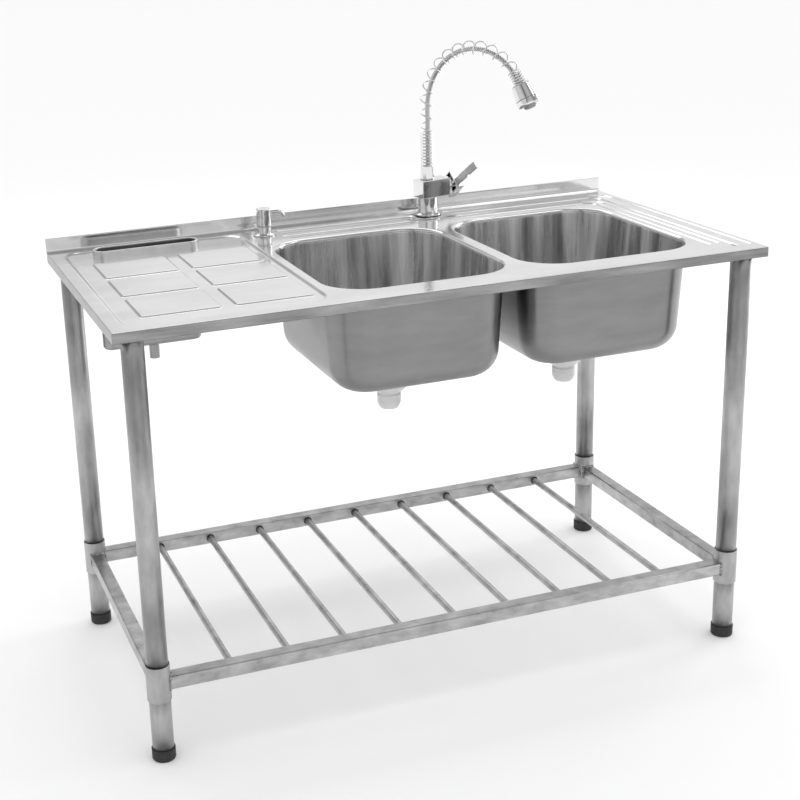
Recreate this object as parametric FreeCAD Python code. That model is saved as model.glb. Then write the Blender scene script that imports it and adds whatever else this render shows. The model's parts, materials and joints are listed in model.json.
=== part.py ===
"""Free-standing double-bowl sink on a tubular stand, with drainer, knife holder, soap pump and spring tap.

Millimetres, +Z up. The origin is on the floor under the centre of the worktop; +X runs along the
worktop towards the bowls' end and +Y runs towards the wall.
"""
import FreeCAD, Part
import math
import os

Vec = FreeCAD.Vector

# ---- driving dimensions: worktop -------------------------------------------------------------
WIDTH = 1200.0
DEPTH = 600.0
TOP_Z = 780.0
SHEET = 1.2
SKIRT = 18.0
SKIRT_LIP = 9.0
UPSTAND = 28.0
UPSTAND_HEM = 12.0
CHANNEL_DEPTH = 1.6
RECESS_DEPTH = 3.0
PAD_RISE = 2.0

HALF_W = WIDTH / 2
HALF_D = DEPTH / 2
UNDER_Z = TOP_Z - SHEET
RECESS_Z = TOP_Z - RECESS_DEPTH

# drainer: recess and its raised pads
RECESS = (-572.0, -224.0, -270.0, 280.0)
RECESS_R = 40.0
PAD_X = (-535.0, -373.6)
PAD_Y = (-222.0, -82.0, 54.0)
PAD_SIZE = (136.0, 120.0)
PAD_R = 6.0

# bowls
BOWL_LENGTH = 340.0
BOWL_BREADTH = 398.0
BOWL_X = {"left": -33.0, "right": 336.0}
BOWL_Y = -35.0
BOWL_R = 80.0
BOWL_DRAFT = 9.0
BOWL_FLOOR_R = 48.0
BOWL_BOTTOM_Z = 578.0

# pressed channels beside and behind the bowls: (left x, right x, front y, rear y)
CHANNELS = ((513.0, 543.0, -238.0, 222.0), (550.0, 588.0, -268.0, 270.0))
CHANNEL_LEFT_END = -150.0
CHANNEL_BACK_WIDTH = (30.0, 38.0)

# ---- driving dimensions: stand ---------------------------------------------------------------
LEG_X = 563.0
LEG_Y = 270.0
LEG_R = 19.0
TUBE_WALL = 1.5
SLEEVE_R = 21.2
SLEEVE_Z = (115.0, 182.0)
SPLIT_Z = 149.0
FOOT_R = 20.8
FOOT_H = 22.0
FOOT_SOLE = 3.0
SOCKET_PLATE_R = 27.0
SOCKET_PLATE_T = 2.0
SOCKET_LENGTH = 40.0
RAIL = 25.0
RAIL_WALL = 1.2
RAIL_Z = 134.0
BAR_R = 6.35
BAR_COUNT = 9
BAR_PITCH = 107.5
BAR_Z = RAIL_Z + RAIL / 2

# ---- driving dimensions: knife holder --------------------------------------------------------
KNIFE_X = (-522.0, -316.0)
KNIFE_Y = (211.0, 257.0)
KNIFE_COLLAR_T = 5.0
KNIFE_COLLAR_Z = (RECESS_Z, 790.5)
KNIFE_BOX_WALL = 1.2
KNIFE_BOX_Z = 592.0
KNIFE_TAIL = (-417.0, 234.0)
KNIFE_TAIL_R = 10.0
KNIFE_TAIL_Z = 563.0

# ---- driving dimensions: bowl waste ----------------------------------------------------------
WASTE_RECESS_R = 58.0
WASTE_RECESS_DEPTH = 6.0
WASTE_HOLE_R = 41.0
CUP_R = 40.0
CUP_WALL = 1.0
CUP_FLANGE_R = 56.0
CUP_BOTTOM_Z = 536.0
TAIL_Z = 488.0
TAIL_R = 22.5
THROAT_R = 20.5
THROAT_Z = 505.0
SEAL_T = 3.0

# ---- driving dimensions: tap -----------------------------------------------------------------
TAP_X = 178.0
TAP_Y = 252.0
TAP_TURN = 12.0
TAP_HOLE_R = 17.5
TAP_LAND_R = 30.0
GASKET_T = 1.4
BASE_R = 26.0
BASE_T = 5.2
COLUMN_R = 20.0
SHANK_R = 16.0
TAP_WASHER_T = 2.5
SHANK_Z = 705.0
BLOCK_SIDE = 36.0
BLOCK_X = (-23.0, 44.5)
BLOCK_Z = (818.0, 854.0)
BOSS_R = 17.5
BOSS_END = 50.0
SPOUT_BORE_R = 10.0
FERRULE_Z = 882.0
SPOUT_TURN = -65.0
SPRING_STRAIGHT_Z = 996.9
SPRING_BEND_R = 125.9
SPRING_BEND = 150.0
SPRING_R = 13.6
SPRING_BORE_R = 9.0
HOSE_R = 4.75
HOSE_OFFSET = 2.5
LEVER_PIVOT_X = 33.0
LEVER_TURN = 47.0
LEVER_CAP_X = (21.5, 39.5)
LEVER_CAP_SIDE = 40.0
LEVER_BLADE = (58.0, 15.0, 5.0)
LEVER_BLADE_LEAN = 16.0
LEVER_BLADE_AT = (27.4, -7.5)

# ---- driving dimensions: soap pump -----------------------------------------------------------
SOAP_X = -178.0
SOAP_Y = 241.0
SOAP_HOLE_R = 12.6
SOAP_FLANGE_R = 22.0
SOAP_COLLAR_R = 13.3
SOAP_COLLAR_Z = 798.5
SOAP_HEAD_R = 15.0
SOAP_HEAD_Z = (800.0, 834.0)
SOAP_STEM_R = 4.0
SOAP_BOTTLE_R = 29.0
SOAP_BOTTLE_Z = (612.0, 762.0)
SOAP_TUBE_R = 12.0
SOAP_NECK_Z = 742.0
SOAP_NOZZLE_DROP = 50.0


# ---- small builders --------------------------------------------------------------------------
def block(x0, x1, y0, y1, z0, z1):
    """Box between two corners."""
    return Part.makeBox(x1 - x0, y1 - y0, z1 - z0, Vec(x0, y0, z0))


def rod(x, y, z0, z1, radius):
    """Upright cylinder."""
    return Part.makeCylinder(radius, z1 - z0, Vec(x, y, z0), Vec(0, 0, 1))


def pipe(x, y, z0, z1, outer, inner):
    """Upright tube."""
    return rod(x, y, z0, z1, outer).cut(rod(x, y, z0 - 1, z1 + 1, inner))


def rounded_wire(x0, x1, y0, y1, radius, z):
    """Closed outline of a rectangle with round corners, at height z."""
    corners = ((x1 - radius, y1 - radius, 0), (x0 + radius, y1 - radius, 90),
               (x0 + radius, y0 + radius, 180), (x1 - radius, y0 + radius, 270))
    edges = []
    ends = []
    for cx, cy, start in corners:
        a = [math.radians(start + k) for k in (0, 45, 90)]
        p = [Vec(cx + radius * math.cos(t), cy + radius * math.sin(t), z) for t in a]
        if ends and ends[-1].distanceToPoint(p[0]) > 1e-6:
            edges.append(Part.LineSegment(ends[-1], p[0]).toShape())
        edges.append(Part.Arc(*p).toShape())
        ends += [p[0], p[2]]
    if ends[-1].distanceToPoint(ends[0]) > 1e-6:
        edges.append(Part.LineSegment(ends[-1], ends[0]).toShape())
    return Part.Wire(edges)


def slab(x0, x1, y0, y1, radius, z0, z1):
    """Rounded rectangle as a prism."""
    face = Part.Face(rounded_wire(x0, x1, y0, y1, radius, z0))
    return face.extrude(Vec(0, 0, z1 - z0))


def turned(profile, x=0.0, y=0.0):
    """Solid of revolution about the upright line through (x, y); profile is (radius, z) points."""
    points = [Vec(r, 0, z) for r, z in profile]
    face = Part.Face(Part.makePolygon(points + points[:1]))
    solid = face.revolve(Vec(0, 0, 0), Vec(0, 0, 1), 360)
    solid.translate(Vec(x, y, 0))
    return solid


def joined(shapes):
    """Fuse a list of solids into one."""
    result = shapes[0].fuse(shapes[1:]) if len(shapes) > 1 else shapes[0]
    return result.removeSplitter()


def save(name, shape):
    """Write one node; a list is a group of separate solids."""
    if isinstance(shape, (list, tuple)):
        shape = Part.makeCompound(list(shape))
    if not shape.isValid():
        raise ValueError(name + " is not a valid shape")
    shape.exportStep("parts/" + name + ".step")
    print(name, len(shape.Solids), round(shape.Volume / 1000.0, 2), "cm3")


# ---- worktop ---------------------------------------------------------------------------------
def pressing(x0, x1, y0, y1, radius, depth, z=TOP_Z):
    """The hollow and the metal of a flat pressing: (what to cut, what to add)."""
    hollow = slab(x0, x1, y0, y1, radius, z - depth, z + 1)
    metal = slab(x0 - SHEET, x1 + SHEET, y0 - SHEET, y1 + SHEET, radius + SHEET,
                 z - depth - SHEET, z - SHEET / 2)
    return hollow, metal


def channel_hollow(edges, back_width, grow, z0, z1):
    """L-shaped channel: up the right-hand side of the bowls and left along the back."""
    x0, x1, y0, y1 = edges
    radius = (x1 - x0) / 2 - 1
    side = slab(x0 - grow, x1 + grow, y0 - grow, y1 + grow, radius, z0, z1)
    back = slab(CHANNEL_LEFT_END - grow, x1 + grow, y1 - back_width - grow, y1 + grow, radius, z0, z1)
    return side.fuse(back)


def worktop():
    """Pressed worktop: rim, skirt, upstand, drainer with raised pads, channels and all its holes."""
    lip_z = TOP_Z - SKIRT
    plate = block(-HALF_W, HALF_W, -HALF_D, HALF_D, UNDER_Z, TOP_Z)
    skirts = [block(-HALF_W, HALF_W, -HALF_D, -HALF_D + SHEET, lip_z, TOP_Z),
              block(-HALF_W, -HALF_W + SHEET, -HALF_D, HALF_D, lip_z, TOP_Z),
              block(HALF_W - SHEET, HALF_W, -HALF_D, HALF_D, lip_z, TOP_Z),
              block(-HALF_W, HALF_W, -HALF_D, -HALF_D + SKIRT_LIP, lip_z, lip_z + SHEET),
              block(-HALF_W, -HALF_W + SKIRT_LIP, -HALF_D, HALF_D, lip_z, lip_z + SHEET),
              block(HALF_W - SKIRT_LIP, HALF_W, -HALF_D, HALF_D, lip_z, lip_z + SHEET)]
    back_y = HALF_D - 2 * SHEET
    rise = [block(-HALF_W, HALF_W, back_y, back_y + SHEET, TOP_Z - SKIRT, TOP_Z + UPSTAND),
            block(-HALF_W, HALF_W, back_y + SHEET, HALF_D, TOP_Z + UPSTAND - UPSTAND_HEM, TOP_Z + UPSTAND),
            block(-HALF_W, HALF_W, back_y + SHEET, HALF_D, TOP_Z - SKIRT, TOP_Z)]
    recess_cut, recess_add = pressing(*RECESS, RECESS_R, RECESS_DEPTH)
    hollows = [recess_cut]
    metals = [recess_add]
    for edges, back_width in zip(CHANNELS, CHANNEL_BACK_WIDTH):
        hollow = channel_hollow(edges, back_width, 0, TOP_Z - CHANNEL_DEPTH, TOP_Z + 1)
        metal = channel_hollow(edges, back_width, SHEET, UNDER_Z - CHANNEL_DEPTH, UNDER_Z + SHEET / 2)
        hollows.append(hollow.cut(rod(TAP_X, TAP_Y, UNDER_Z - 5, TOP_Z + 2, TAP_LAND_R)))
        metals.append(metal.cut(rod(TAP_X, TAP_Y, UNDER_Z - 5, TOP_Z + 2, TAP_LAND_R - SHEET)))
    sheet = plate.fuse(skirts + rise + metals)
    for hollow in hollows:
        sheet = sheet.cut(hollow)
    for x in PAD_X:
        for y in PAD_Y:
            pad = slab(x, x + PAD_SIZE[0], y, y + PAD_SIZE[1], PAD_R, RECESS_Z - SHEET / 2, RECESS_Z + PAD_RISE)
            under = slab(x + SHEET, x + PAD_SIZE[0] - SHEET, y + SHEET, y + PAD_SIZE[1] - SHEET, PAD_R - SHEET,
                         RECESS_Z - SHEET - 1, RECESS_Z + PAD_RISE - SHEET)
            sheet = sheet.fuse(pad).cut(under)
    for side in BOWL_X:
        sheet = sheet.cut(bowl_form(side, 0, UNDER_Z - 5, TOP_Z + 2, straight=True))
    holes = [rod(TAP_X, TAP_Y, UNDER_Z - 6, TOP_Z + 2, TAP_HOLE_R),
             rod(SOAP_X, SOAP_Y, UNDER_Z - 6, TOP_Z + 2, SOAP_HOLE_R),
             knife_form(KNIFE_COLLAR_T, UNDER_Z - 6, TOP_Z + 2)]
    for hole in holes:
        sheet = sheet.cut(hole)
    return sheet.removeSplitter()


# ---- bowls -----------------------------------------------------------------------------------
def bowl_form(side, inset, z0, z1, straight=False):
    """Solid form of a bowl, set in from its outside by inset; straight gives only its mouth."""
    cx = BOWL_X[side]
    x0, x1 = cx - BOWL_LENGTH / 2 + inset, cx + BOWL_LENGTH / 2 - inset
    y0, y1 = BOWL_Y - BOWL_BREADTH / 2 + inset, BOWL_Y + BOWL_BREADTH / 2 - inset
    radius = BOWL_R - inset
    if straight:
        return slab(x0, x1, y0, y1, radius, z0, z1)
    low = rounded_wire(x0 + BOWL_DRAFT, x1 - BOWL_DRAFT, y0 + BOWL_DRAFT, y1 - BOWL_DRAFT,
                       radius - BOWL_DRAFT, z0)
    high = rounded_wire(x0, x1, y0, y1, radius, UNDER_Z)
    body = Part.makeLoft([low, high], True, True)
    bottom = [e for e in body.Edges if abs(e.BoundBox.ZMin - z0) < 1e-4 and abs(e.BoundBox.ZMax - z0) < 1e-4]
    body = body.makeFillet(BOWL_FLOOR_R - inset, bottom)
    return body.fuse(slab(x0, x1, y0, y1, radius, UNDER_Z, z1)).removeSplitter()


def bowl(side):
    """Deep-drawn bowl with a round-edged floor and a dished seat for its waste."""
    cx = BOWL_X[side]
    seat_z = BOWL_BOTTOM_Z - WASTE_RECESS_DEPTH
    outer = bowl_form(side, 0, BOWL_BOTTOM_Z, TOP_Z)
    outer = outer.fuse(rod(cx, BOWL_Y, seat_z, BOWL_BOTTOM_Z + SHEET / 2, WASTE_RECESS_R + SHEET))
    inner = bowl_form(side, SHEET, BOWL_BOTTOM_Z + SHEET, TOP_Z + 2)
    inner = inner.fuse(rod(cx, BOWL_Y, seat_z + SHEET, BOWL_BOTTOM_Z + 2 * SHEET, WASTE_RECESS_R))
    return outer.cut(inner).cut(rod(cx, BOWL_Y, seat_z - 1, seat_z + 5, WASTE_HOLE_R)).removeSplitter()


# ---- bowl waste ------------------------------------------------------------------------------
def drilled(shape, cx, ring_r, count, hole_r, z0, z1):
    """Cut a ring of round holes."""
    for k in range(count):
        a = 2 * math.pi * k / count
        shape = shape.cut(rod(cx + ring_r * math.cos(a), BOWL_Y + ring_r * math.sin(a), z0, z1, hole_r))
    return shape


def strainer_cup(cx):
    """Stainless cup whose flange seats in the bowl floor, with a perforated bottom."""
    top = BOWL_BOTTOM_Z - WASTE_RECESS_DEPTH + SHEET
    outer, inner = CUP_R, CUP_R - CUP_WALL
    profile = [(0, CUP_BOTTOM_Z), (outer - 6, CUP_BOTTOM_Z), (outer, CUP_BOTTOM_Z + 6), (outer, top),
               (CUP_FLANGE_R, top), (CUP_FLANGE_R, top + CUP_WALL), (inner, top + CUP_WALL),
               (inner, CUP_BOTTOM_Z + 6.4), (outer - 6.4, CUP_BOTTOM_Z + CUP_WALL), (0, CUP_BOTTOM_Z + CUP_WALL)]
    cup = turned(profile, cx, BOWL_Y)
    cup = cup.cut(rod(cx, BOWL_Y, CUP_BOTTOM_Z - 1, CUP_BOTTOM_Z + 3, 3.1))
    return drilled(cup, cx, 20.0, 10, 4.0, CUP_BOTTOM_Z - 1, CUP_BOTTOM_Z + 3)


def waste_seal(cx):
    """Rubber ring clamped between the bowl's seat and the waste body."""
    top = BOWL_BOTTOM_Z - WASTE_RECESS_DEPTH
    return pipe(cx, BOWL_Y, top - SEAL_T, top, 54.0, WASTE_HOLE_R)


def waste_body(cx):
    """White plastic funnel under the bowl: flange, cup and throat in one moulding, with the screw's hub."""
    top = BOWL_BOTTOM_Z - WASTE_RECESS_DEPTH - SEAL_T
    outer = [(54.0, top), (54.0, top - 3.0), (CUP_R + 4.5, top - 3.0), (CUP_R + 4.5, 540.0), (28.0, 524.0),
             (THROAT_R, 518.0), (THROAT_R, THROAT_Z)]
    inner = [(THROAT_R - 3.0, THROAT_Z), (THROAT_R - 3.0, 516.0), (30.0, 528.0), (CUP_R + 1.0, 541.0),
             (CUP_R + 1.0, top)]
    body = turned(outer + inner, cx, BOWL_Y)
    form = turned([(0, top)] + outer + [(0, THROAT_Z)], cx, BOWL_Y)
    bridge = block(cx - 35.0, cx + 35.0, BOWL_Y - 3.0, BOWL_Y + 3.0, 526.0, 533.0)
    hub = rod(cx, BOWL_Y, 520.0, CUP_BOTTOM_Z, 5.5)
    body = body.fuse([bridge.common(form), hub])
    return body.cut(rod(cx, BOWL_Y, 515.0, CUP_BOTTOM_Z + 1, 2.6)).removeSplitter()


def waste_tail(cx):
    """Round-ended outlet sleeve pushed over the throat, open at the bottom."""
    bore = THROAT_R + 0.1
    profile = [(bore, 517.0), (TAIL_R, 514.5), (TAIL_R, 500.0), (TAIL_R - 2.0, 494.0),
               (TAIL_R - 5.5, TAIL_Z), (15.0, TAIL_Z), (15.0, THROAT_Z - 2.0), (bore, THROAT_Z - 2.0)]
    return turned(profile, cx, BOWL_Y)


def waste_screw(cx):
    """Long screw through the cup into the waste body's hub."""
    head = turned([(0, CUP_BOTTOM_Z + CUP_WALL), (6.0, CUP_BOTTOM_Z + CUP_WALL), (4.5, CUP_BOTTOM_Z + 4.0),
                   (0, CUP_BOTTOM_Z + 4.5)], cx, BOWL_Y)
    return head.fuse(rod(cx, BOWL_Y, 521.0, CUP_BOTTOM_Z + CUP_WALL + 0.5, 2.5)).removeSplitter()


def basket(cx):
    """Lift-out basket with a rim, a perforated floor and a knob on its post."""
    seat = BOWL_BOTTOM_Z - WASTE_RECESS_DEPTH + SHEET + CUP_WALL + 0.3
    floor = 550.0
    wall = CUP_R - CUP_WALL - 1.2
    profile = [(0, floor), (wall - 5, floor), (wall, floor + 5), (wall, seat), (46.0, seat),
               (46.0, seat + 1), (wall - 1, seat + 1), (wall - 1, floor + 5.4), (wall - 5.4, floor + 1),
               (3.0, floor + 1), (3.0, 583.0), (8.5, 584.5), (9.5, 587.5), (7.5, 590.5), (0, 591.5)]
    piece = turned(profile, cx, BOWL_Y)
    piece = drilled(piece, cx, 13.0, 8, 2.5, floor - 1, floor + 3)
    return drilled(piece, cx, 24.0, 14, 3.0, floor - 1, floor + 3)


def basket_stopper(cx):
    """Rubber stopper under the basket's floor."""
    return turned([(0, 546.5), (9.0, 546.5), (10.0, 550.0), (0, 550.0)], cx, BOWL_Y)


# ---- knife holder ----------------------------------------------------------------------------
def knife_form(inset, z0, z1):
    """Oblong with round ends, set in from the collar's outside."""
    x0, x1 = KNIFE_X[0] + inset, KNIFE_X[1] - inset
    y0, y1 = KNIFE_Y[0] + inset, KNIFE_Y[1] - inset
    return slab(x0, x1, y0, y1, (y1 - y0) / 2 - 0.01, z0, z1)


def knife_collar():
    """Low oblong collar that stands on the drainer and carries the box."""
    z0, z1 = KNIFE_COLLAR_Z
    outer = knife_form(0, z0, z1)
    rim = [e for e in outer.Edges if abs(e.BoundBox.ZMin - z1) < 1e-4]
    outer = outer.makeFillet(1.6, rim)
    return outer.cut(knife_form(KNIFE_COLLAR_T, z0 - 1, z1 + 1)).removeSplitter()


def knife_box():
    """Deep box that hangs in the collar, with a drain spout in its floor."""
    top = KNIFE_COLLAR_Z[1] - 2.0
    outer = knife_form(KNIFE_COLLAR_T, KNIFE_BOX_Z, top)
    low = [e for e in outer.Edges if abs(e.BoundBox.ZMax - KNIFE_BOX_Z) < 1e-4]
    outer = outer.makeFillet(8.0, low)
    spout = rod(*KNIFE_TAIL, KNIFE_TAIL_Z, KNIFE_BOX_Z + 1, KNIFE_TAIL_R)
    inner = knife_form(KNIFE_COLLAR_T + KNIFE_BOX_WALL, KNIFE_BOX_Z + KNIFE_BOX_WALL, top + 2)
    floor = [e for e in inner.Edges if abs(e.BoundBox.ZMax - KNIFE_BOX_Z - KNIFE_BOX_WALL) < 1e-4]
    inner = inner.makeFillet(8.0 - KNIFE_BOX_WALL, floor)
    bore = rod(*KNIFE_TAIL, KNIFE_TAIL_Z - 1, KNIFE_BOX_Z + 5, KNIFE_TAIL_R - 1.5)
    return outer.fuse(spout).cut(inner).cut(bore).removeSplitter()


# ---- stand -----------------------------------------------------------------------------------
LEGS = {"front_left": (-LEG_X, -LEG_Y), "front_right": (LEG_X, -LEG_Y),
        "rear_left": (-LEG_X, LEG_Y), "rear_right": (LEG_X, LEG_Y)}


def socket_plate_z(x):
    """Underside of a socket's plate, which lies against the lowest pressing above it."""
    pressed = RECESS_DEPTH if x < 0 else CHANNEL_DEPTH
    return UNDER_Z - pressed - SOCKET_PLATE_T


def leg_socket(x, y):
    """Plate and spigot welded under the worktop; the leg slides over the spigot."""
    plate_z = socket_plate_z(x)
    spigot_r = LEG_R - TUBE_WALL - 0.1
    plate = block(x - SOCKET_PLATE_R, x + SOCKET_PLATE_R, y - SOCKET_PLATE_R, y + SOCKET_PLATE_R,
                  plate_z, plate_z + SOCKET_PLATE_T)
    spigot = pipe(x, y, plate_z - SOCKET_LENGTH, plate_z, spigot_r, spigot_r - 2.0)
    return plate.fuse(spigot).removeSplitter()


def upper_leg(x, y):
    """Long tube from the middle of its sleeve up to the worktop's socket."""
    return pipe(x, y, SPLIT_Z, socket_plate_z(x), LEG_R, LEG_R - TUBE_WALL)


def lower_leg(x, y):
    """Short tube from the foot up into the sleeve."""
    return pipe(x, y, FOOT_SOLE, SPLIT_Z - 0.5, LEG_R, LEG_R - TUBE_WALL)


def sleeve(x, y):
    """Joining sleeve that the rails are welded to."""
    return pipe(x, y, *SLEEVE_Z, SLEEVE_R, LEG_R + 0.1)


def foot_cap(x, y):
    """Rubber cup pushed over the leg's end."""
    body = rod(x, y, 0, FOOT_H, FOOT_R)
    sole = [e for e in body.Edges if abs(e.BoundBox.ZMax) < 1e-4]
    return body.makeFillet(2.5, sole).cut(rod(x, y, FOOT_SOLE, FOOT_H + 1, LEG_R + 0.05))


def rail(along_x, offset):
    """Square tube between two sleeves, its ends coped to their round."""
    reach = LEG_X if along_x else LEG_Y
    half = RAIL / 2
    inner = half - RAIL_WALL
    z0, z1 = RAIL_Z, RAIL_Z + RAIL
    if along_x:
        tube = block(-reach, reach, offset - half, offset + half, z0, z1)
        core = block(-reach - 1, reach + 1, offset - inner, offset + inner, z0 + RAIL_WALL, z1 - RAIL_WALL)
        ends = ((-LEG_X, offset), (LEG_X, offset))
    else:
        tube = block(offset - half, offset + half, -reach, reach, z0, z1)
        core = block(offset - inner, offset + inner, -reach - 1, reach + 1, z0 + RAIL_WALL, z1 - RAIL_WALL)
        ends = ((offset, -LEG_Y), (offset, LEG_Y))
    tube = tube.cut(core)
    for x, y in ends:
        tube = tube.cut(rod(x, y, z0 - 1, z1 + 1, SLEEVE_R))
    return tube


def shelf_bar(index):
    """Round bar welded between the front and the rear rail."""
    x = (index - (BAR_COUNT + 1) / 2) * BAR_PITCH
    reach = LEG_Y - RAIL / 2
    return Part.makeCylinder(BAR_R, 2 * reach, Vec(x, -reach, BAR_Z), Vec(0, 1, 0))


# ---- tap -------------------------------------------------------------------------------------
def on_tap(shape, turn=TAP_TURN):
    """Place a shape made about the tap's own axis, turned about it by turn degrees."""
    shape = shape.copy()
    shape.rotate(Vec(0, 0, 0), Vec(0, 0, 1), turn)
    shape.translate(Vec(TAP_X, TAP_Y, 0))
    return shape


def level_rod(x0, x1, radius, z):
    """Cylinder along the tap block's own X."""
    return Part.makeCylinder(radius, x1 - x0, Vec(x0, 0, z), Vec(1, 0, 0))


BLOCK_MID_Z = sum(BLOCK_Z) / 2
CARTRIDGE_X = (16.0, 49.0)


def tap_gasket():
    """Thin rubber ring between the base and the worktop."""
    return on_tap(pipe(0, 0, TOP_Z, TOP_Z + GASKET_T, BASE_R + 0.4, SHANK_R + 0.3))


def tap_base():
    """Round foot flange."""
    z = TOP_Z + GASKET_T
    profile = [(SHANK_R + 0.05, z), (BASE_R, z), (BASE_R, z + 2.0), (BASE_R - 2.0, z + 3.6),
               (COLUMN_R + 0.6, z + BASE_T), (SHANK_R + 0.05, z + BASE_T)]
    return on_tap(turned(profile))


def tap_column():
    """Column with its threaded shank, bored for the two supply hoses."""
    base = TOP_Z + GASKET_T + BASE_T
    body = rod(0, 0, base, BLOCK_Z[0], COLUMN_R).fuse(rod(0, 0, SHANK_Z, base, SHANK_R))
    body = body.cut(rod(0, 0, SHANK_Z + 14.0, BLOCK_Z[0] + 1, 11.0))
    for side in (-1, 1):
        body = body.cut(rod(side * 7.2, 0, SHANK_Z - 1, SHANK_Z + 15.0, 4.6))
    return on_tap(body.removeSplitter())


def tap_washer():
    """Steel washer under the worktop."""
    return on_tap(pipe(0, 0, UNDER_Z - TAP_WASHER_T, UNDER_Z, 28.0, SHANK_R + 0.1))


def tap_nut():
    """Hexagonal clamping nut."""
    top = UNDER_Z - TAP_WASHER_T
    radius = 25.0
    points = [Vec(radius * math.cos(math.radians(60 * k)), radius * math.sin(math.radians(60 * k)), top - 12.0)
              for k in range(7)]
    nut = Part.Face(Part.makePolygon(points)).extrude(Vec(0, 0, 12.0))
    return on_tap(nut.cut(rod(0, 0, top - 13, top + 1, SHANK_R + 0.05)))


def tap_block():
    """Square valve block: spout bore on top, cartridge bore in its right end."""
    half = BLOCK_SIDE / 2
    body = block(BLOCK_X[0], BLOCK_X[1], -half, half, *BLOCK_Z)
    body = body.makeFillet(1.5, body.Edges)
    body = body.fuse(level_rod(BLOCK_X[1] - 2, BOSS_END, BOSS_R, BLOCK_MID_Z))
    body = body.cut(rod(0, 0, BLOCK_Z[1] - 22.0, BLOCK_Z[1] + 1, SPOUT_BORE_R))
    body = body.cut(rod(0, 0, BLOCK_Z[0] - 1, BLOCK_Z[0] + 8.0, 8.0))
    body = body.cut(level_rod(CARTRIDGE_X[0] - 0.5, BOSS_END + 1, 15.0, BLOCK_MID_Z))
    return on_tap(body.removeSplitter())


def tap_cartridge():
    """Fixed shell of the mixing cartridge."""
    x0, x1 = CARTRIDGE_X
    shell = level_rod(x0, x1, 14.95, BLOCK_MID_Z).cut(level_rod(x0 + 4.0, x1 + 1, 13.0, BLOCK_MID_Z))
    return on_tap(shell)


def lever_carrier():
    """Rotor that turns in the cartridge and carries the lever's pivot pin."""
    x0 = CARTRIDGE_X[0] + 4.3
    rotor = level_rod(x0, x0 + 7.7, 12.93, BLOCK_MID_Z)
    ears = [block(x0 + 7.0, LEVER_PIVOT_X + 5.0, s - 1.5, s + 1.5, BLOCK_MID_Z - 5.5, BLOCK_MID_Z + 5.5)
            for s in (-8.0, 8.0)]
    pin = Part.makeCylinder(2.0, 18.0, Vec(LEVER_PIVOT_X, -9.0, BLOCK_MID_Z), Vec(0, 1, 0))
    carrier = rotor.fuse(ears + [pin]).removeSplitter()
    carrier.rotate(Vec(0, 0, BLOCK_MID_Z), Vec(1, 0, 0), LEVER_TURN)
    return on_tap(carrier)


def tap_lever():
    """Lever in one casting: eye, arm, square cap and a blade on its side; stored closed, turned forward."""
    eye = Part.makeCylinder(4.0, 12.0, Vec(0, -6.0, 0), Vec(0, 1, 0))
    c0, c1 = LEVER_CAP_X
    half = LEVER_CAP_SIDE / 2
    arm = block(0, c1 - 1, -5.0, 5.0, -4.0, 4.0)
    cap = block(c0, c1, -half, half, -half, half)
    cap = cap.makeFillet(1.5, cap.Edges)
    cap = cap.cut(block(c0 - 1, c1 - 3.0, 2.0 - half, half - 2.0, 2.0 - half, half - 2.0))
    length, breadth, thick = LEVER_BLADE
    blade = block(-thick / 2, thick / 2, -breadth / 2, breadth / 2, -1.0, length)
    tip = [e for e in blade.Edges if e.BoundBox.ZMin > length - 1e-4 and e.BoundBox.XLength > thick - 1e-4]
    blade = blade.makeFillet(2.4, tip)
    blade.rotate(Vec(0, 0, 0), Vec(0, 1, 0), LEVER_BLADE_LEAN)
    blade.translate(Vec(*LEVER_BLADE_AT, half))
    lever = joined([eye, arm, cap, blade])
    lever = lever.cut(Part.makeCylinder(2.06, 14.0, Vec(0, -7.0, 0), Vec(0, 1, 0)))
    lever.rotate(Vec(0, 0, 0), Vec(1, 0, 0), LEVER_TURN)
    lever.translate(Vec(LEVER_PIVOT_X, 0, BLOCK_MID_Z))
    return on_tap(lever)


def tap_ferrule():
    """Swivelling foot of the spout: spigot in the block, cone and hose bore above."""
    z = BLOCK_Z[1] + 0.3
    profile = [(7.6, z - 20.0), (SPOUT_BORE_R - 0.06, z - 20.0), (SPOUT_BORE_R - 0.06, z), (14.2, z),
               (13.0, FERRULE_Z), (8.2, FERRULE_Z), (7.6, FERRULE_Z - 2.0)]
    return on_tap(turned(profile), SPOUT_TURN)


def bend_path(start_z, offset):
    """Upright line and then the round bend, in the spout's own XZ plane; offset is towards the bend."""
    radius = SPRING_BEND_R - offset
    turn = math.radians(SPRING_BEND)
    foot = Vec(offset, 0, start_z)
    spring_line = Vec(offset, 0, SPRING_STRAIGHT_Z)
    points = [Vec(SPRING_BEND_R - radius * math.cos(turn * k), 0, SPRING_STRAIGHT_Z + radius * math.sin(turn * k))
              for k in (0.5, 1.0)]
    line = Part.LineSegment(foot, spring_line).toShape()
    arc = Part.Arc(spring_line, *points).toShape()
    return Part.Wire([line, arc])


def swept(start_z, offset, radius):
    """Round solid along the bend."""
    disc = Part.Wire(Part.makeCircle(radius, Vec(offset, 0, start_z), Vec(0, 0, 1)))
    return bend_path(start_z, offset).makePipeShell([disc], True, False)


def tap_spring():
    """The coil's outside as a plain sleeve along the bend."""
    z = FERRULE_Z
    sleeve_solid = swept(z, 0, SPRING_R).cut(swept(z, 0, SPRING_BORE_R))
    return on_tap(sleeve_solid, SPOUT_TURN)


def tap_hose():
    """Water hose inside the spring, from the ferrule to the spray head."""
    return on_tap(swept(FERRULE_Z - 15.0, HOSE_OFFSET, HOSE_R), SPOUT_TURN)


HEAD_JOIN = 32.0
HEAD_LENGTH = 46.0


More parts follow.
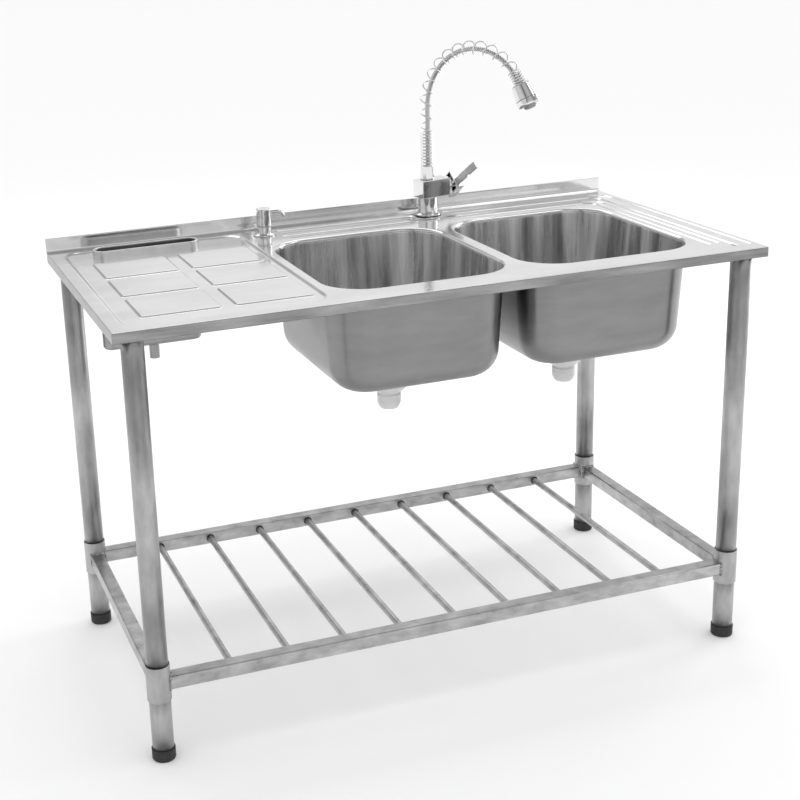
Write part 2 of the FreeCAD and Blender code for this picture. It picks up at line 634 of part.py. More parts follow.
def on_head(shape):
    """Place a shape made upright, mouth up, at the end of the bend and pointing along it."""
    turn = math.radians(SPRING_BEND)
    shape = shape.copy()
    shape.rotate(Vec(0, 0, 0), Vec(0, 1, 0), SPRING_BEND)
    shape.translate(Vec(SPRING_BEND_R * (1 - math.cos(turn)), 0,
                        SPRING_STRAIGHT_Z + SPRING_BEND_R * math.sin(turn)))
    return on_tap(shape, SPOUT_TURN)


def spray_body():
    """Upper shell of the spray head with its spigot for the ring."""
    profile = [(5.6, 0.05), (14.5, 0.05), (18.0, 2.0), (19.2, 5.0), (22.2, HEAD_JOIN - 0.2), (15.9, HEAD_JOIN - 0.2),
               (15.9, 40.0), (13.5, 40.0), (13.5, 10.0), (5.6, 6.0)]
    return on_head(turned(profile))


def spray_ring():
    """Turning ring that changes the spray."""
    profile = [(16.0, HEAD_JOIN + 0.2), (22.3, HEAD_JOIN + 0.2), (22.4, 42.0), (20.8, HEAD_LENGTH),
               (12.0, HEAD_LENGTH), (12.0, 42.0), (16.0, 40.6)]
    return on_head(turned(profile))


def spray_nozzle():
    """Nozzle plate in the ring, with its ring of jets."""
    profile = [(0, 42.2), (12.0, 42.2), (12.0, HEAD_LENGTH), (10.4, HEAD_LENGTH + 3.0), (0, HEAD_LENGTH + 3.4)]
    plate = turned(profile)
    for k in range(8):
        a = math.radians(45 * k)
        plate = plate.cut(rod(6.5 * math.cos(a), 6.5 * math.sin(a), 41.0, 51.0, 0.9))
    return on_head(plate)


# ---- soap pump -------------------------------------------------------------------------------
def soap_flange():
    """Deck flange with its threaded neck below and the collar that guides the pump head above."""
    z = TOP_Z
    bore = SOAP_STEM_R + 0.1
    profile = [(bore, z), (SOAP_TUBE_R - 2.5, z), (SOAP_TUBE_R - 2.5, SOAP_NECK_Z), (SOAP_TUBE_R, SOAP_NECK_Z),
               (SOAP_TUBE_R, z), (SOAP_FLANGE_R, z), (SOAP_FLANGE_R, z + 1.6), (SOAP_FLANGE_R - 2.5, z + 3.6),
               (SOAP_COLLAR_R, z + 5.0), (SOAP_COLLAR_R, SOAP_COLLAR_Z - 1), (SOAP_COLLAR_R - 1, SOAP_COLLAR_Z),
               (bore, SOAP_COLLAR_Z)]
    return turned(profile, SOAP_X, SOAP_Y)


def soap_nut():
    """Wing-less plastic nut under the worktop."""
    return pipe(SOAP_X, SOAP_Y, UNDER_Z - 9.0, UNDER_Z, 20.0, SOAP_TUBE_R + 0.05)


def soap_bottle():
    """Soap bottle screwed on the neck, under the worktop."""
    z0, z1 = SOAP_BOTTLE_Z
    neck = SOAP_TUBE_R + 0.1
    r = SOAP_BOTTLE_R
    profile = [(0, z0), (r - 4, z0), (r, z0 + 4), (r, z1 - 22), (r - 5, z1 - 14), (neck + 2.5, z1 - 12),
               (neck + 2.5, z1), (neck, z1), (neck, z1 - 13.5), (r - 6, z1 - 15.5), (r - 1.6, z1 - 22.6),
               (r - 1.6, z0 + 4.6), (r - 4.6, z0 + 1.6), (0, z0 + 1.6)]
    return turned(profile, SOAP_X, SOAP_Y)


def soap_stem():
    """Pump rod with its dip tube."""
    profile = [(0, 632.0), (3.0, 632.0), (3.0, 735.0), (SOAP_STEM_R, 735.0), (SOAP_STEM_R, 818.0), (0, 818.0)]
    return turned(profile, SOAP_X, SOAP_Y)


def soap_head():
    """Pump head: sleeve over the collar, domed top and bent nozzle."""
    z0, z1 = SOAP_HEAD_Z
    r = SOAP_HEAD_R
    ceiling = 819.5
    profile = [(SOAP_COLLAR_R + 0.4, z0), (r, z0), (r, z1 - 2.5), (r - 2.5, z1 - 0.3), (0, z1), (0, ceiling),
               (SOAP_STEM_R + 0.06, ceiling), (SOAP_STEM_R + 0.06, 811.0), (7.0, 811.0), (7.0, 819.5),
               (SOAP_COLLAR_R + 0.4, 819.5)]
    body = turned(profile)
    nozzle_z = z1 - 9.5
    bend, drop = 10.0, math.radians(SOAP_NOZZLE_DROP)
    knee = Vec(28.0, 0, nozzle_z)
    arc_ends = [Vec(28.0 + bend * math.sin(drop * k), 0, nozzle_z - bend * (1 - math.cos(drop * k)))
                for k in (0.5, 1.0)]
    along = Vec(math.cos(drop), 0, -math.sin(drop))
    tip = arc_ends[1] + along * 8.5
    path = Part.Wire([Part.LineSegment(Vec(r - 4, 0, nozzle_z), knee).toShape(),
                      Part.Arc(knee, *arc_ends).toShape(), Part.LineSegment(arc_ends[1], tip).toShape()])
    disc = Part.Wire(Part.makeCircle(4.2, Vec(r - 4, 0, nozzle_z), Vec(1, 0, 0)))
    body = joined([body, path.makePipeShell([disc], True, False)])
    body = body.cut(Part.makeCylinder(2.7, 10.0, tip - along * 8.0, along))
    body.translate(Vec(SOAP_X, SOAP_Y, 0))
    return body


# ---- write every node ------------------------------------------------------------------------
def main():
    os.makedirs("parts", exist_ok=True)
    save("worktop", worktop())
    for side, cx in BOWL_X.items():
        save("bowl_" + side, bowl(side))
        save("strainer_cup_" + side, strainer_cup(cx))
        save("waste_body_" + side, waste_body(cx))
        save("waste_tail_" + side, waste_tail(cx))
        save("basket_" + side, basket(cx))
        save("basket_stopper_" + side, basket_stopper(cx))
    save("waste_seals", [waste_seal(cx) for cx in BOWL_X.values()])
    save("waste_screws", [waste_screw(cx) for cx in BOWL_X.values()])
    save("knife_collar", knife_collar())
    save("knife_box", knife_box())
    save("leg_sockets", [leg_socket(x, y) for x, y in LEGS.values()])
    save("lower_legs", [lower_leg(x, y) for x, y in LEGS.values()])
    save("foot_caps", [foot_cap(x, y) for x, y in LEGS.values()])
    for name, (x, y) in LEGS.items():
        save("leg_" + name, upper_leg(x, y))
        save("sleeve_" + name, sleeve(x, y))
    save("tap_fixings", [tap_washer(), tap_nut()])
    save("rail_front", rail(True, -LEG_Y))
    save("rail_rear", rail(True, LEG_Y))
    save("rail_left", rail(False, -LEG_X))
    save("rail_right", rail(False, LEG_X))
    for index in range(1, BAR_COUNT + 1):
        save("shelf_bar_" + str(index), shelf_bar(index))
    for make in (tap_gasket, tap_base, tap_column, tap_block, tap_cartridge,
                 lever_carrier, tap_lever, tap_ferrule, tap_spring, tap_hose, spray_body, spray_ring,
                 spray_nozzle, soap_flange, soap_nut, soap_bottle, soap_stem, soap_head):
        save(make.__name__, make())


main()
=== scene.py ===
# %% [markdown]
# # A free-standing catering sink
# A pressed stainless worktop with a drainer and two deep bowls stands on round tubes with a slatted shelf.
# The CAD model is the frame. It holds every size and every joint, so nothing is fitted by eye here.
# This script gives the visible pieces their soft edges, coils, welds and finishes.

# %% Load the frame
import json
import math
import random
import bmesh
import bpy
from mathutils import Matrix, Vector


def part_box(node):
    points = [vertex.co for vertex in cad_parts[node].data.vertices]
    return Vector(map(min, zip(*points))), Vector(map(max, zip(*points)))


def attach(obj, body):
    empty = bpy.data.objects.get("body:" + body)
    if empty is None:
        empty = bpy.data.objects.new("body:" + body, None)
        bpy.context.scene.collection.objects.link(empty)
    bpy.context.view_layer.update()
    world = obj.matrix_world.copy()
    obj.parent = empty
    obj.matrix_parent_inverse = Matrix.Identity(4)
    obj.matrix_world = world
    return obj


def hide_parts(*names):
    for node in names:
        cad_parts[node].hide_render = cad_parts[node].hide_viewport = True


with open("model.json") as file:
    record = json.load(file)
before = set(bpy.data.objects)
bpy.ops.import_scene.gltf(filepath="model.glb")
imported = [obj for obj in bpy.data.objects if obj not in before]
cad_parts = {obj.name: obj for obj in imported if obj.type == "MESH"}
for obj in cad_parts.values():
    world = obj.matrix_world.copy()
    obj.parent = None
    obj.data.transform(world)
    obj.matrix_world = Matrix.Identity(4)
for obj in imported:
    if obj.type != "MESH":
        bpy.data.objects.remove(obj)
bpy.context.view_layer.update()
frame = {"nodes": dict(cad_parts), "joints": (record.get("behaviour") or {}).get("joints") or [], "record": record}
joints = {joint["name"]: joint for joint in frame["joints"]}

# %% [markdown]
# ## Units and small helpers
# Sheet-metal sizes are easiest to read in millimetres, so every mesh is modelled in millimetres and scaled
# once, when it becomes a piece. Places are read from the CAD nodes' boxes.

# %% Helpers that every piece uses
MM = 0.001


def corners(node):
    """Lowest and highest corner of a CAD node, in millimetres."""
    low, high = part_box(node)
    return low / MM, high / MM


def in_scene(name, data):
    """A new object, linked to the scene."""
    thing = bpy.data.objects.new(name, data)
    bpy.context.scene.collection.objects.link(thing)
    return thing


def finished(name, bm, body, materials, nodes=()):
    """Turn a bmesh in millimetres into a smooth piece that rides on its body and stands for CAD nodes."""
    bmesh.ops.scale(bm, vec=(MM, MM, MM), verts=bm.verts)
    for face in bm.faces:
        face.smooth = True
    mesh = bpy.data.meshes.new(name)
    bm.to_mesh(mesh)
    bm.free()
    piece = in_scene(name, mesh)
    for material in materials:
        mesh.materials.append(material)
    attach(piece, body)
    if nodes:
        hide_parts(*nodes)
    return piece


def thicken(piece, thickness, outside_material=0):
    """Give a sheet its thickness behind its visible side."""
    wall = piece.modifiers.new("wall", "SOLIDIFY")
    wall.thickness = thickness * MM
    wall.offset = -1.0
    wall.use_even_offset = True
    wall.material_offset = outside_material
    wall.material_offset_rim = outside_material


def steady(piece):
    """Keep flat faces flat in reflections: a big face decides its corners' normals."""
    normals = piece.modifiers.new("flat faces stay flat", "WEIGHTED_NORMAL")
    normals.weight = 80
    normals.keep_sharp = True


# %% Shaping helpers: press a face, turn a profile, soften edges
CORNER_STEPS = 10


def round_off(bm, geom, radius, steps, affect="VERTICES", **settings):
    """Round corners or edges with a true arc and leave their material alone."""
    bmesh.ops.bevel(bm, geom=geom, offset=radius, offset_type="OFFSET", segments=steps, profile=0.5,
                    affect=affect, material=-1, **settings)


def rounded_face(bm, x0, x1, y0, y1, radius, z, steps=CORNER_STEPS):
    """A flat face with round corners that looks up."""
    before = set(bm.faces)
    quad = bmesh.ops.create_grid(bm, x_segments=1, y_segments=1, size=0.5)["verts"]
    bmesh.ops.scale(bm, vec=(x1 - x0, y1 - y0, 1), verts=quad)
    bmesh.ops.translate(bm, vec=((x0 + x1) / 2, (y0 + y1) / 2, z), verts=quad)
    round_off(bm, quad, radius, steps)
    return looking_up(bm, before)


def looking_up(bm, before):
    """The one new face, with the tiny edges between its rounds welded, turned to look up."""
    face = next(f for f in bm.faces if f not in before)
    bmesh.ops.remove_doubles(bm, verts=face.verts, dist=0.3)
    face = next(f for f in bm.faces if f not in before)
    face.normal_update()
    if face.normal.z < 0:
        face.normal_flip()
    return face


def press(bm, face, steps):
    """Work inwards from a face's edge: each step is a width and a rise."""
    for width, rise in steps:
        bmesh.ops.inset_region(bm, faces=[face], thickness=width, depth=rise, use_even_offset=True,
                               use_boundary=True)
    return face


def soft_step(width, rise, steps=6):
    """The S-shaped shoulder that a press tool leaves, as steps for press()."""
    heights = [rise * (1 - math.cos(math.pi * k / steps)) / 2 for k in range(steps + 1)]
    return [(width / steps, b - a) for a, b in zip(heights, heights[1:])]


def quarter(radius, over, steps=6):
    """A quarter-round as steps for press(): "fall" rolls over an edge, "floor" runs out into a floor."""
    angles = [math.pi / 2 * k / steps for k in range(steps + 1)]
    if over == "fall":
        return [(radius * (math.sin(b) - math.sin(a)), radius * (math.cos(b) - math.cos(a)))
                for a, b in zip(angles, angles[1:])]
    if over == "floor":
        return [(radius * (math.cos(a) - math.cos(b)), radius * (math.sin(a) - math.sin(b)))
                for a, b in zip(angles, angles[1:])]
    return [(radius * (math.cos(a) - math.cos(b)), radius * (math.sin(b) - math.sin(a)))
            for a, b in zip(angles, angles[1:])]


def drop_face(bm, face):
    """Remove a face and leave its edges as the rim of a hole."""
    bmesh.ops.delete(bm, geom=[face], context="FACES_ONLY")


def fill_level(bm, z):
    """Fill the flat metal between all open edges that lie at one height."""
    edges = [e for e in bm.edges if len(e.link_faces) < 2 and all(abs(v.co.z - z) < 1e-3 for v in e.verts)]
    made = bmesh.ops.triangle_fill(bm, edges=edges, use_beauty=True, use_dissolve=False, normal=(0, 0, 1))
    for face in (g for g in made["geom"] if isinstance(g, bmesh.types.BMFace)):
        face.normal_update()
        if face.normal.z < 0:
            face.normal_flip()


def turned(bm, profile, closed=False, steps=64):
    """Spin (radius, height) points about the upright axis and give back the new vertices."""
    before = set(bm.verts)
    points = [bm.verts.new((r, 0, z)) for r, z in profile]
    pairs = list(zip(points, points[1:])) + ([(points[-1], points[0])] if closed else [])
    edges = [bm.edges.new(pair) for pair in pairs]
    bmesh.ops.spin(bm, geom=points + edges, cent=(0, 0, 0), axis=(0, 0, 1), angle=2 * math.pi, steps=steps,
                   use_merge=True, use_duplicate=False)
    new = [v for v in bm.verts if v not in before]
    bmesh.ops.remove_doubles(bm, verts=new, dist=1e-3)
    new = [v for v in bm.verts if v not in before]
    bmesh.ops.recalc_face_normals(bm, faces=list({f for v in new for f in v.link_faces}))
    return new


def pull(bm, edges, shift=(0, 0, 0)):
    """Extrude a row of edges and move the copy; gives back the copy's edges and vertices."""
    fresh = bmesh.ops.extrude_edge_only(bm, edges=edges)["geom"]
    verts = [g for g in fresh if isinstance(g, bmesh.types.BMVert)]
    bmesh.ops.translate(bm, vec=shift, verts=verts)
    return [g for g in fresh if isinstance(g, bmesh.types.BMEdge)], verts


def soften(bm, radius, segments=3, angle=32.0, verts=None):
    """Round every edge that is sharper than an angle."""
    chosen = set(verts or bm.verts)
    edges = [e for e in bm.edges if e.is_manifold and e.verts[0] in chosen and e.verts[1] in chosen
             and e.calc_face_angle(0) > math.radians(angle)]
    round_off(bm, edges, radius, segments, "EDGES", clamp_overlap=True)


def block(bm, x0, x1, y0, y1, z0, z1):
    """A box between two corners; gives back its vertices."""
    verts = bmesh.ops.create_cube(bm, size=1.0)["verts"]
    bmesh.ops.scale(bm, vec=(x1 - x0, y1 - y0, z1 - z0), verts=verts)
    bmesh.ops.translate(bm, vec=((x0 + x1) / 2, (y0 + y1) / 2, (z0 + z1) / 2), verts=verts)
    return verts


# %% [markdown]
# ## Finishes
# Stainless steel is one metal with many faces. A polished sheet mirrors, a brushed one smears its reflections
# across the brush lines, and welded tube is dull and cloudy. Each finish below mixes three things at a real
# size: fine lines, soft clouds and a little waviness. They are all made of noise, which carries no light of
# its own. Some colours still paint light in: the streaks on the bowl walls are painted reflections, and the
# darker skirt, knife box and braid gaps are painted shade.
# Colour lives in the shader's base colour, so metals keep the default index of refraction.

# %% Material helpers
def srgb(text):
    """Turn an sRGB hex value into the linear colour that shaders use."""
    values = [int(text[k:k + 2], 16) / 255 for k in (1, 3, 5)]
    return [v / 12.92 if v <= 0.04045 else ((v + 0.055) / 1.055) ** 2.4 for v in values] + [1.0]


def add(tree, kind, inputs=None, **settings):
    """Add a node with its settings; each input is a value or the output that feeds it."""
    node = tree.nodes.new(kind)
    for name, value in settings.items():
        setattr(node, name, value)
    for socket, value in (inputs or {}).items():
        if isinstance(value, bpy.types.NodeSocket):
            tree.links.new(value, node.inputs[socket])
        else:
            node.inputs[socket].default_value = value
    return node


def new_surface(name, **values):
    """A material with its shader's plain values set; gives back the material, its nodes and the shader."""
    material = bpy.data.materials.new(name)
    material.use_nodes = True
    tree = material.node_tree
    shader = tree.nodes["Principled BSDF"]
    for socket, value in values.items():
        shader.inputs[socket if socket == "IOR" else socket.replace("_", " ").title()].default_value = value
    return material, tree, shader


def clouds(tree, size, detail=3.0, roughness=0.55):
    """Noise whose lumps are size millimetres long along X, Y and Z of the object."""
    place = add(tree, "ShaderNodeTexCoord")
    scaled = add(tree, "ShaderNodeMapping", {"Vector": place.outputs["Object"],
                                             "Scale": [1 / (length * MM) for length in size]})
    noise = add(tree, "ShaderNodeTexNoise", {"Vector": scaled.outputs["Vector"], "Scale": 1.0,
                                             "Detail": detail, "Roughness": roughness})
    return noise.outputs["Fac"]


def between(tree, factor, low, high, start=0.3, end=0.7):
    """Map noise to a range of values."""
    mapped = add(tree, "ShaderNodeMapRange", {"Value": factor, "From Min": start, "From Max": end,
                                              "To Min": low, "To Max": high})
    return mapped.outputs["Result"]


def maths(tree, operation, first, second=0.0):
    """One sum on two numbers; gives back its result."""
    return add(tree, "ShaderNodeMath", {0: first, 1: second}, operation=operation).outputs[0]


def tint(tree, shader, share, dark, light):
    """Mix two sRGB colours into the base colour; share is how much of the light one shows."""
    colour = add(tree, "ShaderNodeMix", {0: share, 6: srgb(dark), 7: srgb(light)}, data_type="RGBA")
    tree.links.new(colour.outputs[2], shader.inputs["Base Color"])


FLOOR_SHARE = 0.6


def worked_steel(name, dark, light, shine, grain, grain_depth, cloud, wave=None, wave_depth=0.0, smear=0.0):
    """Stainless steel: shine is the roughness range, grain the brush line's size, depths are in millimetres.

    Smear draws reflections out across level brush lines, so up and down an upright wall. With smear, the tall
    clouds in the colour are painted reflection streaks, kept to upright walls; a level floor gets one even tone.
    """
    material, tree, shader = new_surface(name, Metallic=1.0, Anisotropic=smear)
    if smear:
        surface = add(tree, "ShaderNodeNewGeometry")
        brush = add(tree, "ShaderNodeVectorMath", {0: surface.outputs["Normal"], 1: (0, 0, 1)},
                    operation="CROSS_PRODUCT")
        across = add(tree, "ShaderNodeVectorMath",
                     {0: brush.outputs["Vector"], 1: surface.outputs["Normal"]}, operation="CROSS_PRODUCT")
        tree.links.new(across.outputs["Vector"], shader.inputs["Tangent"])
    patches = clouds(tree, cloud, detail=4.0)
    lines = clouds(tree, grain, detail=2.0)
    share = between(tree, patches, 0.0, 1.0)
    # With smear, the colour clouds are painted reflection streaks on upright faces; level faces keep FLOOR_SHARE.
    if smear:
        parts = add(tree, "ShaderNodeSeparateXYZ", {"Vector": surface.outputs["Normal"]})
        upright = between(tree, maths(tree, "ABSOLUTE", parts.outputs["Z"]), 1.0, 0.0, 0.15, 0.55)
        share = add(tree, "ShaderNodeMix", {"Factor": upright, "A": FLOOR_SHARE, "B": share},
                    data_type="FLOAT").outputs[0]
    tint(tree, shader, share, dark, light)
    both = maths(tree, "ADD", patches, patches if smear else lines)
    tree.links.new(between(tree, both, shine[0], shine[1], 0.7, 1.3), shader.inputs["Roughness"])
    bump = add(tree, "ShaderNodeBump", {"Height": lines, "Distance": grain_depth * MM, "Strength": 1.0})
    if wave:
        swell = clouds(tree, wave, detail=1.0)
        bump = add(tree, "ShaderNodeBump", {"Height": swell, "Distance": wave_depth * MM,
                                            "Strength": upright if smear else 1.0,
                                            "Normal": bump.outputs["Normal"]})
    tree.links.new(bump.outputs["Normal"], shader.inputs["Normal"])
    return material


# %% Stainless sheet and drawn bowls
# Bright rolled stainless: it mirrors softly. Real polishing lines are a few hundredths of a millimetre apart;
# they are drawn 1.5 mm apart so that they show.
sheet_steel = worked_steel("bright_rolled_sheet", "#E5E5E5", "#F3F3F3", (0.10, 0.19), (140, 1.5, 1.5), 0.0015,
                           (160, 70, 70), wave=(120, 90, 90), wave_depth=0.05)
# The folded skirt is satin with level scratches; its grey, far darker than the same sheet on the deck,
# is painted shade on the downturned face.
edge_steel = worked_steel("satin_folded_edge_painted_shade", "#838383", "#A8A8A8", (0.22, 0.34), (90, 90, 0.9), 0.004,
                          (110, 40, 14))
# A drawn bowl is brushed round and round, so its reflections smear up and down the wall.
# Its colour runs from grey to near white in tall streaks on the walls: painted reflections.
bowl_inside_steel = worked_steel("drawn_bowl_inside_painted_reflections", "#999999", "#FCFCFC", (0.24, 0.32), (300, 300, 2.0),
                                 0.0004, (26, 26, 500), wave=(44, 44, 420), wave_depth=3.2, smear=0.85)
# Its outside is left as drawn: duller, with faint level marks from the die.
bowl_outside_steel = worked_steel("drawn_bowl_outside", "#878787", "#999999", (0.30, 0.40), (80, 80, 1.2),
                                  0.003, (120, 120, 40), wave=(90, 90, 160), wave_depth=0.4, smear=0.7)

# %% Welded tube, welds and small steel parts
# Welded tube is drawn lengthwise, which leaves long dull clouds; round tube and square tube differ in shine.
tube_steel = worked_steel("welded_tube", "#A0A0A0", "#C4C4C4", (0.34, 0.50), (1.6, 1.6, 60), 0.006,
                          (26, 26, 70))
rail_steel = worked_steel("welded_square_tube", "#9E9E9E", "#C8C8C8", (0.26, 0.40), (24, 24, 1.4), 0.006,
                          (36, 30, 18))
# A weld bead is bright and scaly; the small ones round the bars are burnt dark.
weld_steel = worked_steel("weld_bead", "#8F8F8F", "#D1D1D1", (0.18, 0.40), (3, 3, 3), 0.10, (7, 7, 7))
burnt_steel = worked_steel("heat_marked_weld", "#3B3B3B", "#6D6D6D", (0.35, 0.5), (3, 3, 3), 0.10,
                           (6, 6, 6))
# The knife holder is brushed lengthwise: its collar is pale satin. The box below is a little duller, and its
# much darker grey is painted shade under the worktop.
box_steel_painted_shade = worked_steel("satin_knife_box_painted_shade", "#8C8C8C", "#A8A8A8", (0.30, 0.42), (60, 1.2, 1.2), 0.004,
                         (60, 30, 30))
holder_steel = worked_steel("satin_knife_holder", "#D1D1D1", "#EAEAEA", (0.26, 0.38), (60, 1.2, 1.2), 0.004,
                            (60, 30, 30))
# Strainers are pressed from polished sheet; screws and nuts are plain turned steel.
strainer_steel = worked_steel("pressed_strainer", "#ABABAB", "#CDCDCD", (0.12, 0.22), (8, 8, 8), 0.004,
                              (20, 20, 20))
fixing_steel = worked_steel("plain_fixing_steel", "#7E7E7E", "#9E9E9E", (0.30, 0.45), (6, 6, 6), 0.006,
                            (15, 15, 15))

# %% Chrome, braid, plastics and rubber
def chrome_plate():
    """Chrome on brass: a hard mirror with a faint ripple and a few dull water spots."""
    material, tree, shader = new_surface("chrome_plate", Metallic=1.0)
    spots = clouds(tree, (7, 7, 7), detail=3.0)
    tint(tree, shader, spots, "#E3E3E3", "#F4F4F4")
    tree.links.new(between(tree, spots, 0.03, 0.09), shader.inputs["Roughness"])
    ripple = add(tree, "ShaderNodeBump", {"Height": clouds(tree, (14, 14, 14), detail=1.0),
                                          "Distance": 0.02 * MM, "Strength": 1.0})
    tree.links.new(ripple.outputs["Normal"], shader.inputs["Normal"])
    return material


def braided_wire():
    """Stainless braid over a rubber hose: crossing strands on the hose's own UV map."""
    material, tree, shader = new_surface("stainless_braid", Metallic=1.0, Roughness=0.32)
    place = add(tree, "ShaderNodeTexCoord")
    parts = add(tree, "ShaderNodeSeparateXYZ", {"Vector": place.outputs["UV"]})
    heights = []
    for way in ("ADD", "SUBTRACT"):
        lean = maths(tree, way, parts.outputs["X"], parts.outputs["Y"])
        strand = maths(tree, "SINE", maths(tree, "MULTIPLY", lean, math.pi))
        heights.append(maths(tree, "ABSOLUTE", strand))
    top = maths(tree, "MAXIMUM", *heights)
    # The colour is darker down between the strands: painted shade in the gaps between them.
    tint(tree, shader, between(tree, top, 0.0, 1.0, 0.55, 0.95), "#4D4D4D", "#ECECEC")
    bump = add(tree, "ShaderNodeBump", {"Height": top, "Distance": 0.5 * MM, "Strength": 1.0})
    tree.links.new(bump.outputs["Normal"], shader.inputs["Normal"])
    return material


def moulded(name, dark, light, roughness, lump, depth, **values):
    """A moulded plastic or rubber with slight clouding and a fine skin."""
    material, tree, shader = new_surface(name, Roughness=roughness, **values)
    cloud = clouds(tree, (lump * 6, lump * 6, lump * 6))
    tint(tree, shader, between(tree, cloud, 0.0, 1.0), dark, light)
    bump = add(tree, "ShaderNodeBump", {"Height": clouds(tree, (lump, lump, lump)), "Distance": depth * MM,
                                        "Strength": 1.0})
    tree.links.new(bump.outputs["Normal"], shader.inputs["Normal"])
    return material


# %% Finishes of the tap, the wastes and the soap pump
chrome = chrome_plate()
# The lever's blade has satin chrome, so it reads as one even grey.
satin_chrome = worked_steel("satin_chrome", "#B2B2B2", "#CCCCCC", (0.30, 0.40), (1.2, 40, 40), 0.002,
                            (12, 12, 12))
# Spring wire is drawn through a die and polished: it is brighter than anything round it.
spring_steel = worked_steel("polished_spring_wire", "#E9E9E9", "#F7F7F7", (0.10, 0.20), (2, 2, 2), 0.002,
                            (20, 20, 20))
braid = braided_wire()
# Wastes are injection moulded polypropylene: white, slightly milky, and a little light comes through.
white_plastic = moulded("milky_polypropylene", "#E3E3E3", "#F2F2F2", 0.34, 3.0, 0.02, IOR=1.49,
                        Transmission_Weight=0.25)
# The soap bottle is blown polyethylene, warmer and softer in shine; small tap parts are grey acetal.
bottle_plastic = moulded("soap_bottle_polyethylene", "#DDDCD6", "#EDEDED", 0.4, 4.0, 0.02, IOR=1.51)
grey_plastic = moulded("grey_acetal", "#8F8F8F", "#A3A3A3", 0.38, 2.0, 0.02, IOR=1.48)
# Rubber feet, gaskets and seals are matt, with a fine moulded skin.
rubber = moulded("black_rubber", "#1C1C1C", "#2D2D2D", 0.62, 1.6, 0.08, IOR=1.52)

# %% [markdown]
# Every CAD node first gets the finish of its slot. Pieces made below replace the ones that are seen closest.
# The knife holder's box is the one node whose finish differs from the rest of its slot: its darker grey is painted
# shade.

# %% Finish the CAD nodes
FINISHES = {"worktop_steel": sheet_steel, "bowl_steel": bowl_inside_steel, "strainer_steel": strainer_steel,
            "white_plastic": white_plastic, "black_rubber": rubber, "knife_holder_steel": holder_steel,
            "stand_steel": tube_steel, "chrome": chrome, "spring_wire": spring_steel, "braided_hose": braid,
            "fixing_steel": fixing_steel, "grey_plastic": grey_plastic, "bottle_plastic": bottle_plastic}
for entry in frame["record"]["subparts"]:
    mesh = frame["nodes"][entry["node"]].data
    mesh.materials.clear()
    mesh.materials.append(FINISHES[entry["material_slot"]])
# The box's darker steel is painted shade under the worktop.
frame["nodes"]["knife_box"].data.materials[0] = box_steel_painted_shade
print("finishes given to", len(frame["nodes"]), "nodes")

# %% [markdown]
# ## The worktop
# A press forms the whole top from one sheet. It could be cut with booleans, but booleans leave hard slits
# where a press leaves soft shoulders that catch the light. Here every pressing starts as a flat outline and
# works inwards in steps, and the flat metal is then filled between the outlines. A narrow flat strip round
# each one keeps the reflection on the flats true.

# %% Driving sizes of the worktop
SHEET = 1.2
deck_low, deck_high = corners("worktop")
TOP = corners("tap_gasket")[0].z
RECESS_FLOOR = corners("knife_collar")[0].z
SKIN = 1.5
ALMOST = 0.01
EDGE_ROUND = 1.6
RIM_CORNER = 3.5
RIM_FLAT = 1.0
SKIRT_LIP = 9.0
SHOULDER = 3.0
RECESS_SHOULDER = 10.0
PAD_SHOULDER = 4.0
GUARD = 0.6
LIP_ROUND = 6.0
BOWL_CORNER = 80.0
BOWL_CORNER_STEPS = 16
RECESS = (deck_low.x + 28, deck_low.x + 376, deck_low.y + 30, deck_high.y - 20)
RECESS_CORNER = 40.0
PAD_COLUMNS = (deck_low.x + 65, deck_low.x + 226.4)
PAD_ROWS = (deck_low.y + 78, deck_low.y + 218, deck_low.y + 354)
PAD_SIZE = (136.0, 120.0)
PAD_CORNER = 8.0
PAD_RISE = 2.0
COLLAR_FLANGE = 5.0
tap_axis = Vector(joints["spout_swivel"]["pos_m"]) / MM
soap_axis = Vector(joints["pump_turn"]["pos_m"]) / MM
FITTING_HOLES = ((tap_axis.x, tap_axis.y, 17.5), (soap_axis.x, soap_axis.y, 12.6))
# Each angled channel: side and back edges, front and left ends, side and back of its groove, bend radius.
CHANNELS = (((516, 543), (192, 222), -238, -150, (517.5, 529.5), (193.5, 205.5), 14),
            ((550, 588), (232, 270), -268, 212, (552, 566), (234, 248), 10))
# The straight one behind the left bowl, and its groove: x0, x1, y0, y1.
SHORT_CHANNEL = (-150, 146, 232, 270)
SHORT_GROOVE = (-144, 140, 234, 248)
CHANNEL_DEPTH = 1.6
GROOVE_DEPTH = 1.8
GROOVE_SET_BACK = 6
print("worktop at", round(TOP, 1), "mm, recess floor at", round(RECESS_FLOOR, 1), "mm")


# %% Outlines and edges of the pressings
def band_face(bm, side, back, front_end, left_end, radius, z):
    """An L-shaped face: up the right-hand side between two x values, then left along the back."""
    outline = [(left_end, back[0]), (side[0], back[0]), (side[0], front_end), (side[1], front_end),
               (side[1], back[1]), (left_end, back[1])]
    verts = [bm.verts.new((x, y, z)) for x, y in outline]
    before = set(bm.faces)
    bm.faces.new(verts)
    ends = [verts[0], verts[2], verts[3], verts[5]]
    bends = [(ends, min(radius, (side[1] - side[0]) / 2 - 0.1)), ([verts[4]], radius + side[1] - side[0]),
             ([verts[1]], radius)]
    for chosen, size in bends:
        round_off(bm, chosen, size, CORNER_STEPS)
    return looking_up(bm, before)


def grown(edges, by):
    """Grow an (x0, x1, y0, y1) outline on every side."""
    return edges[0] - by, edges[1] + by, edges[2] - by, edges[3] + by


def guarded(steps):
    """Add the narrow flat strip before and after a shoulder."""
    return [(GUARD, 0)] + steps + [(GUARD, 0)]


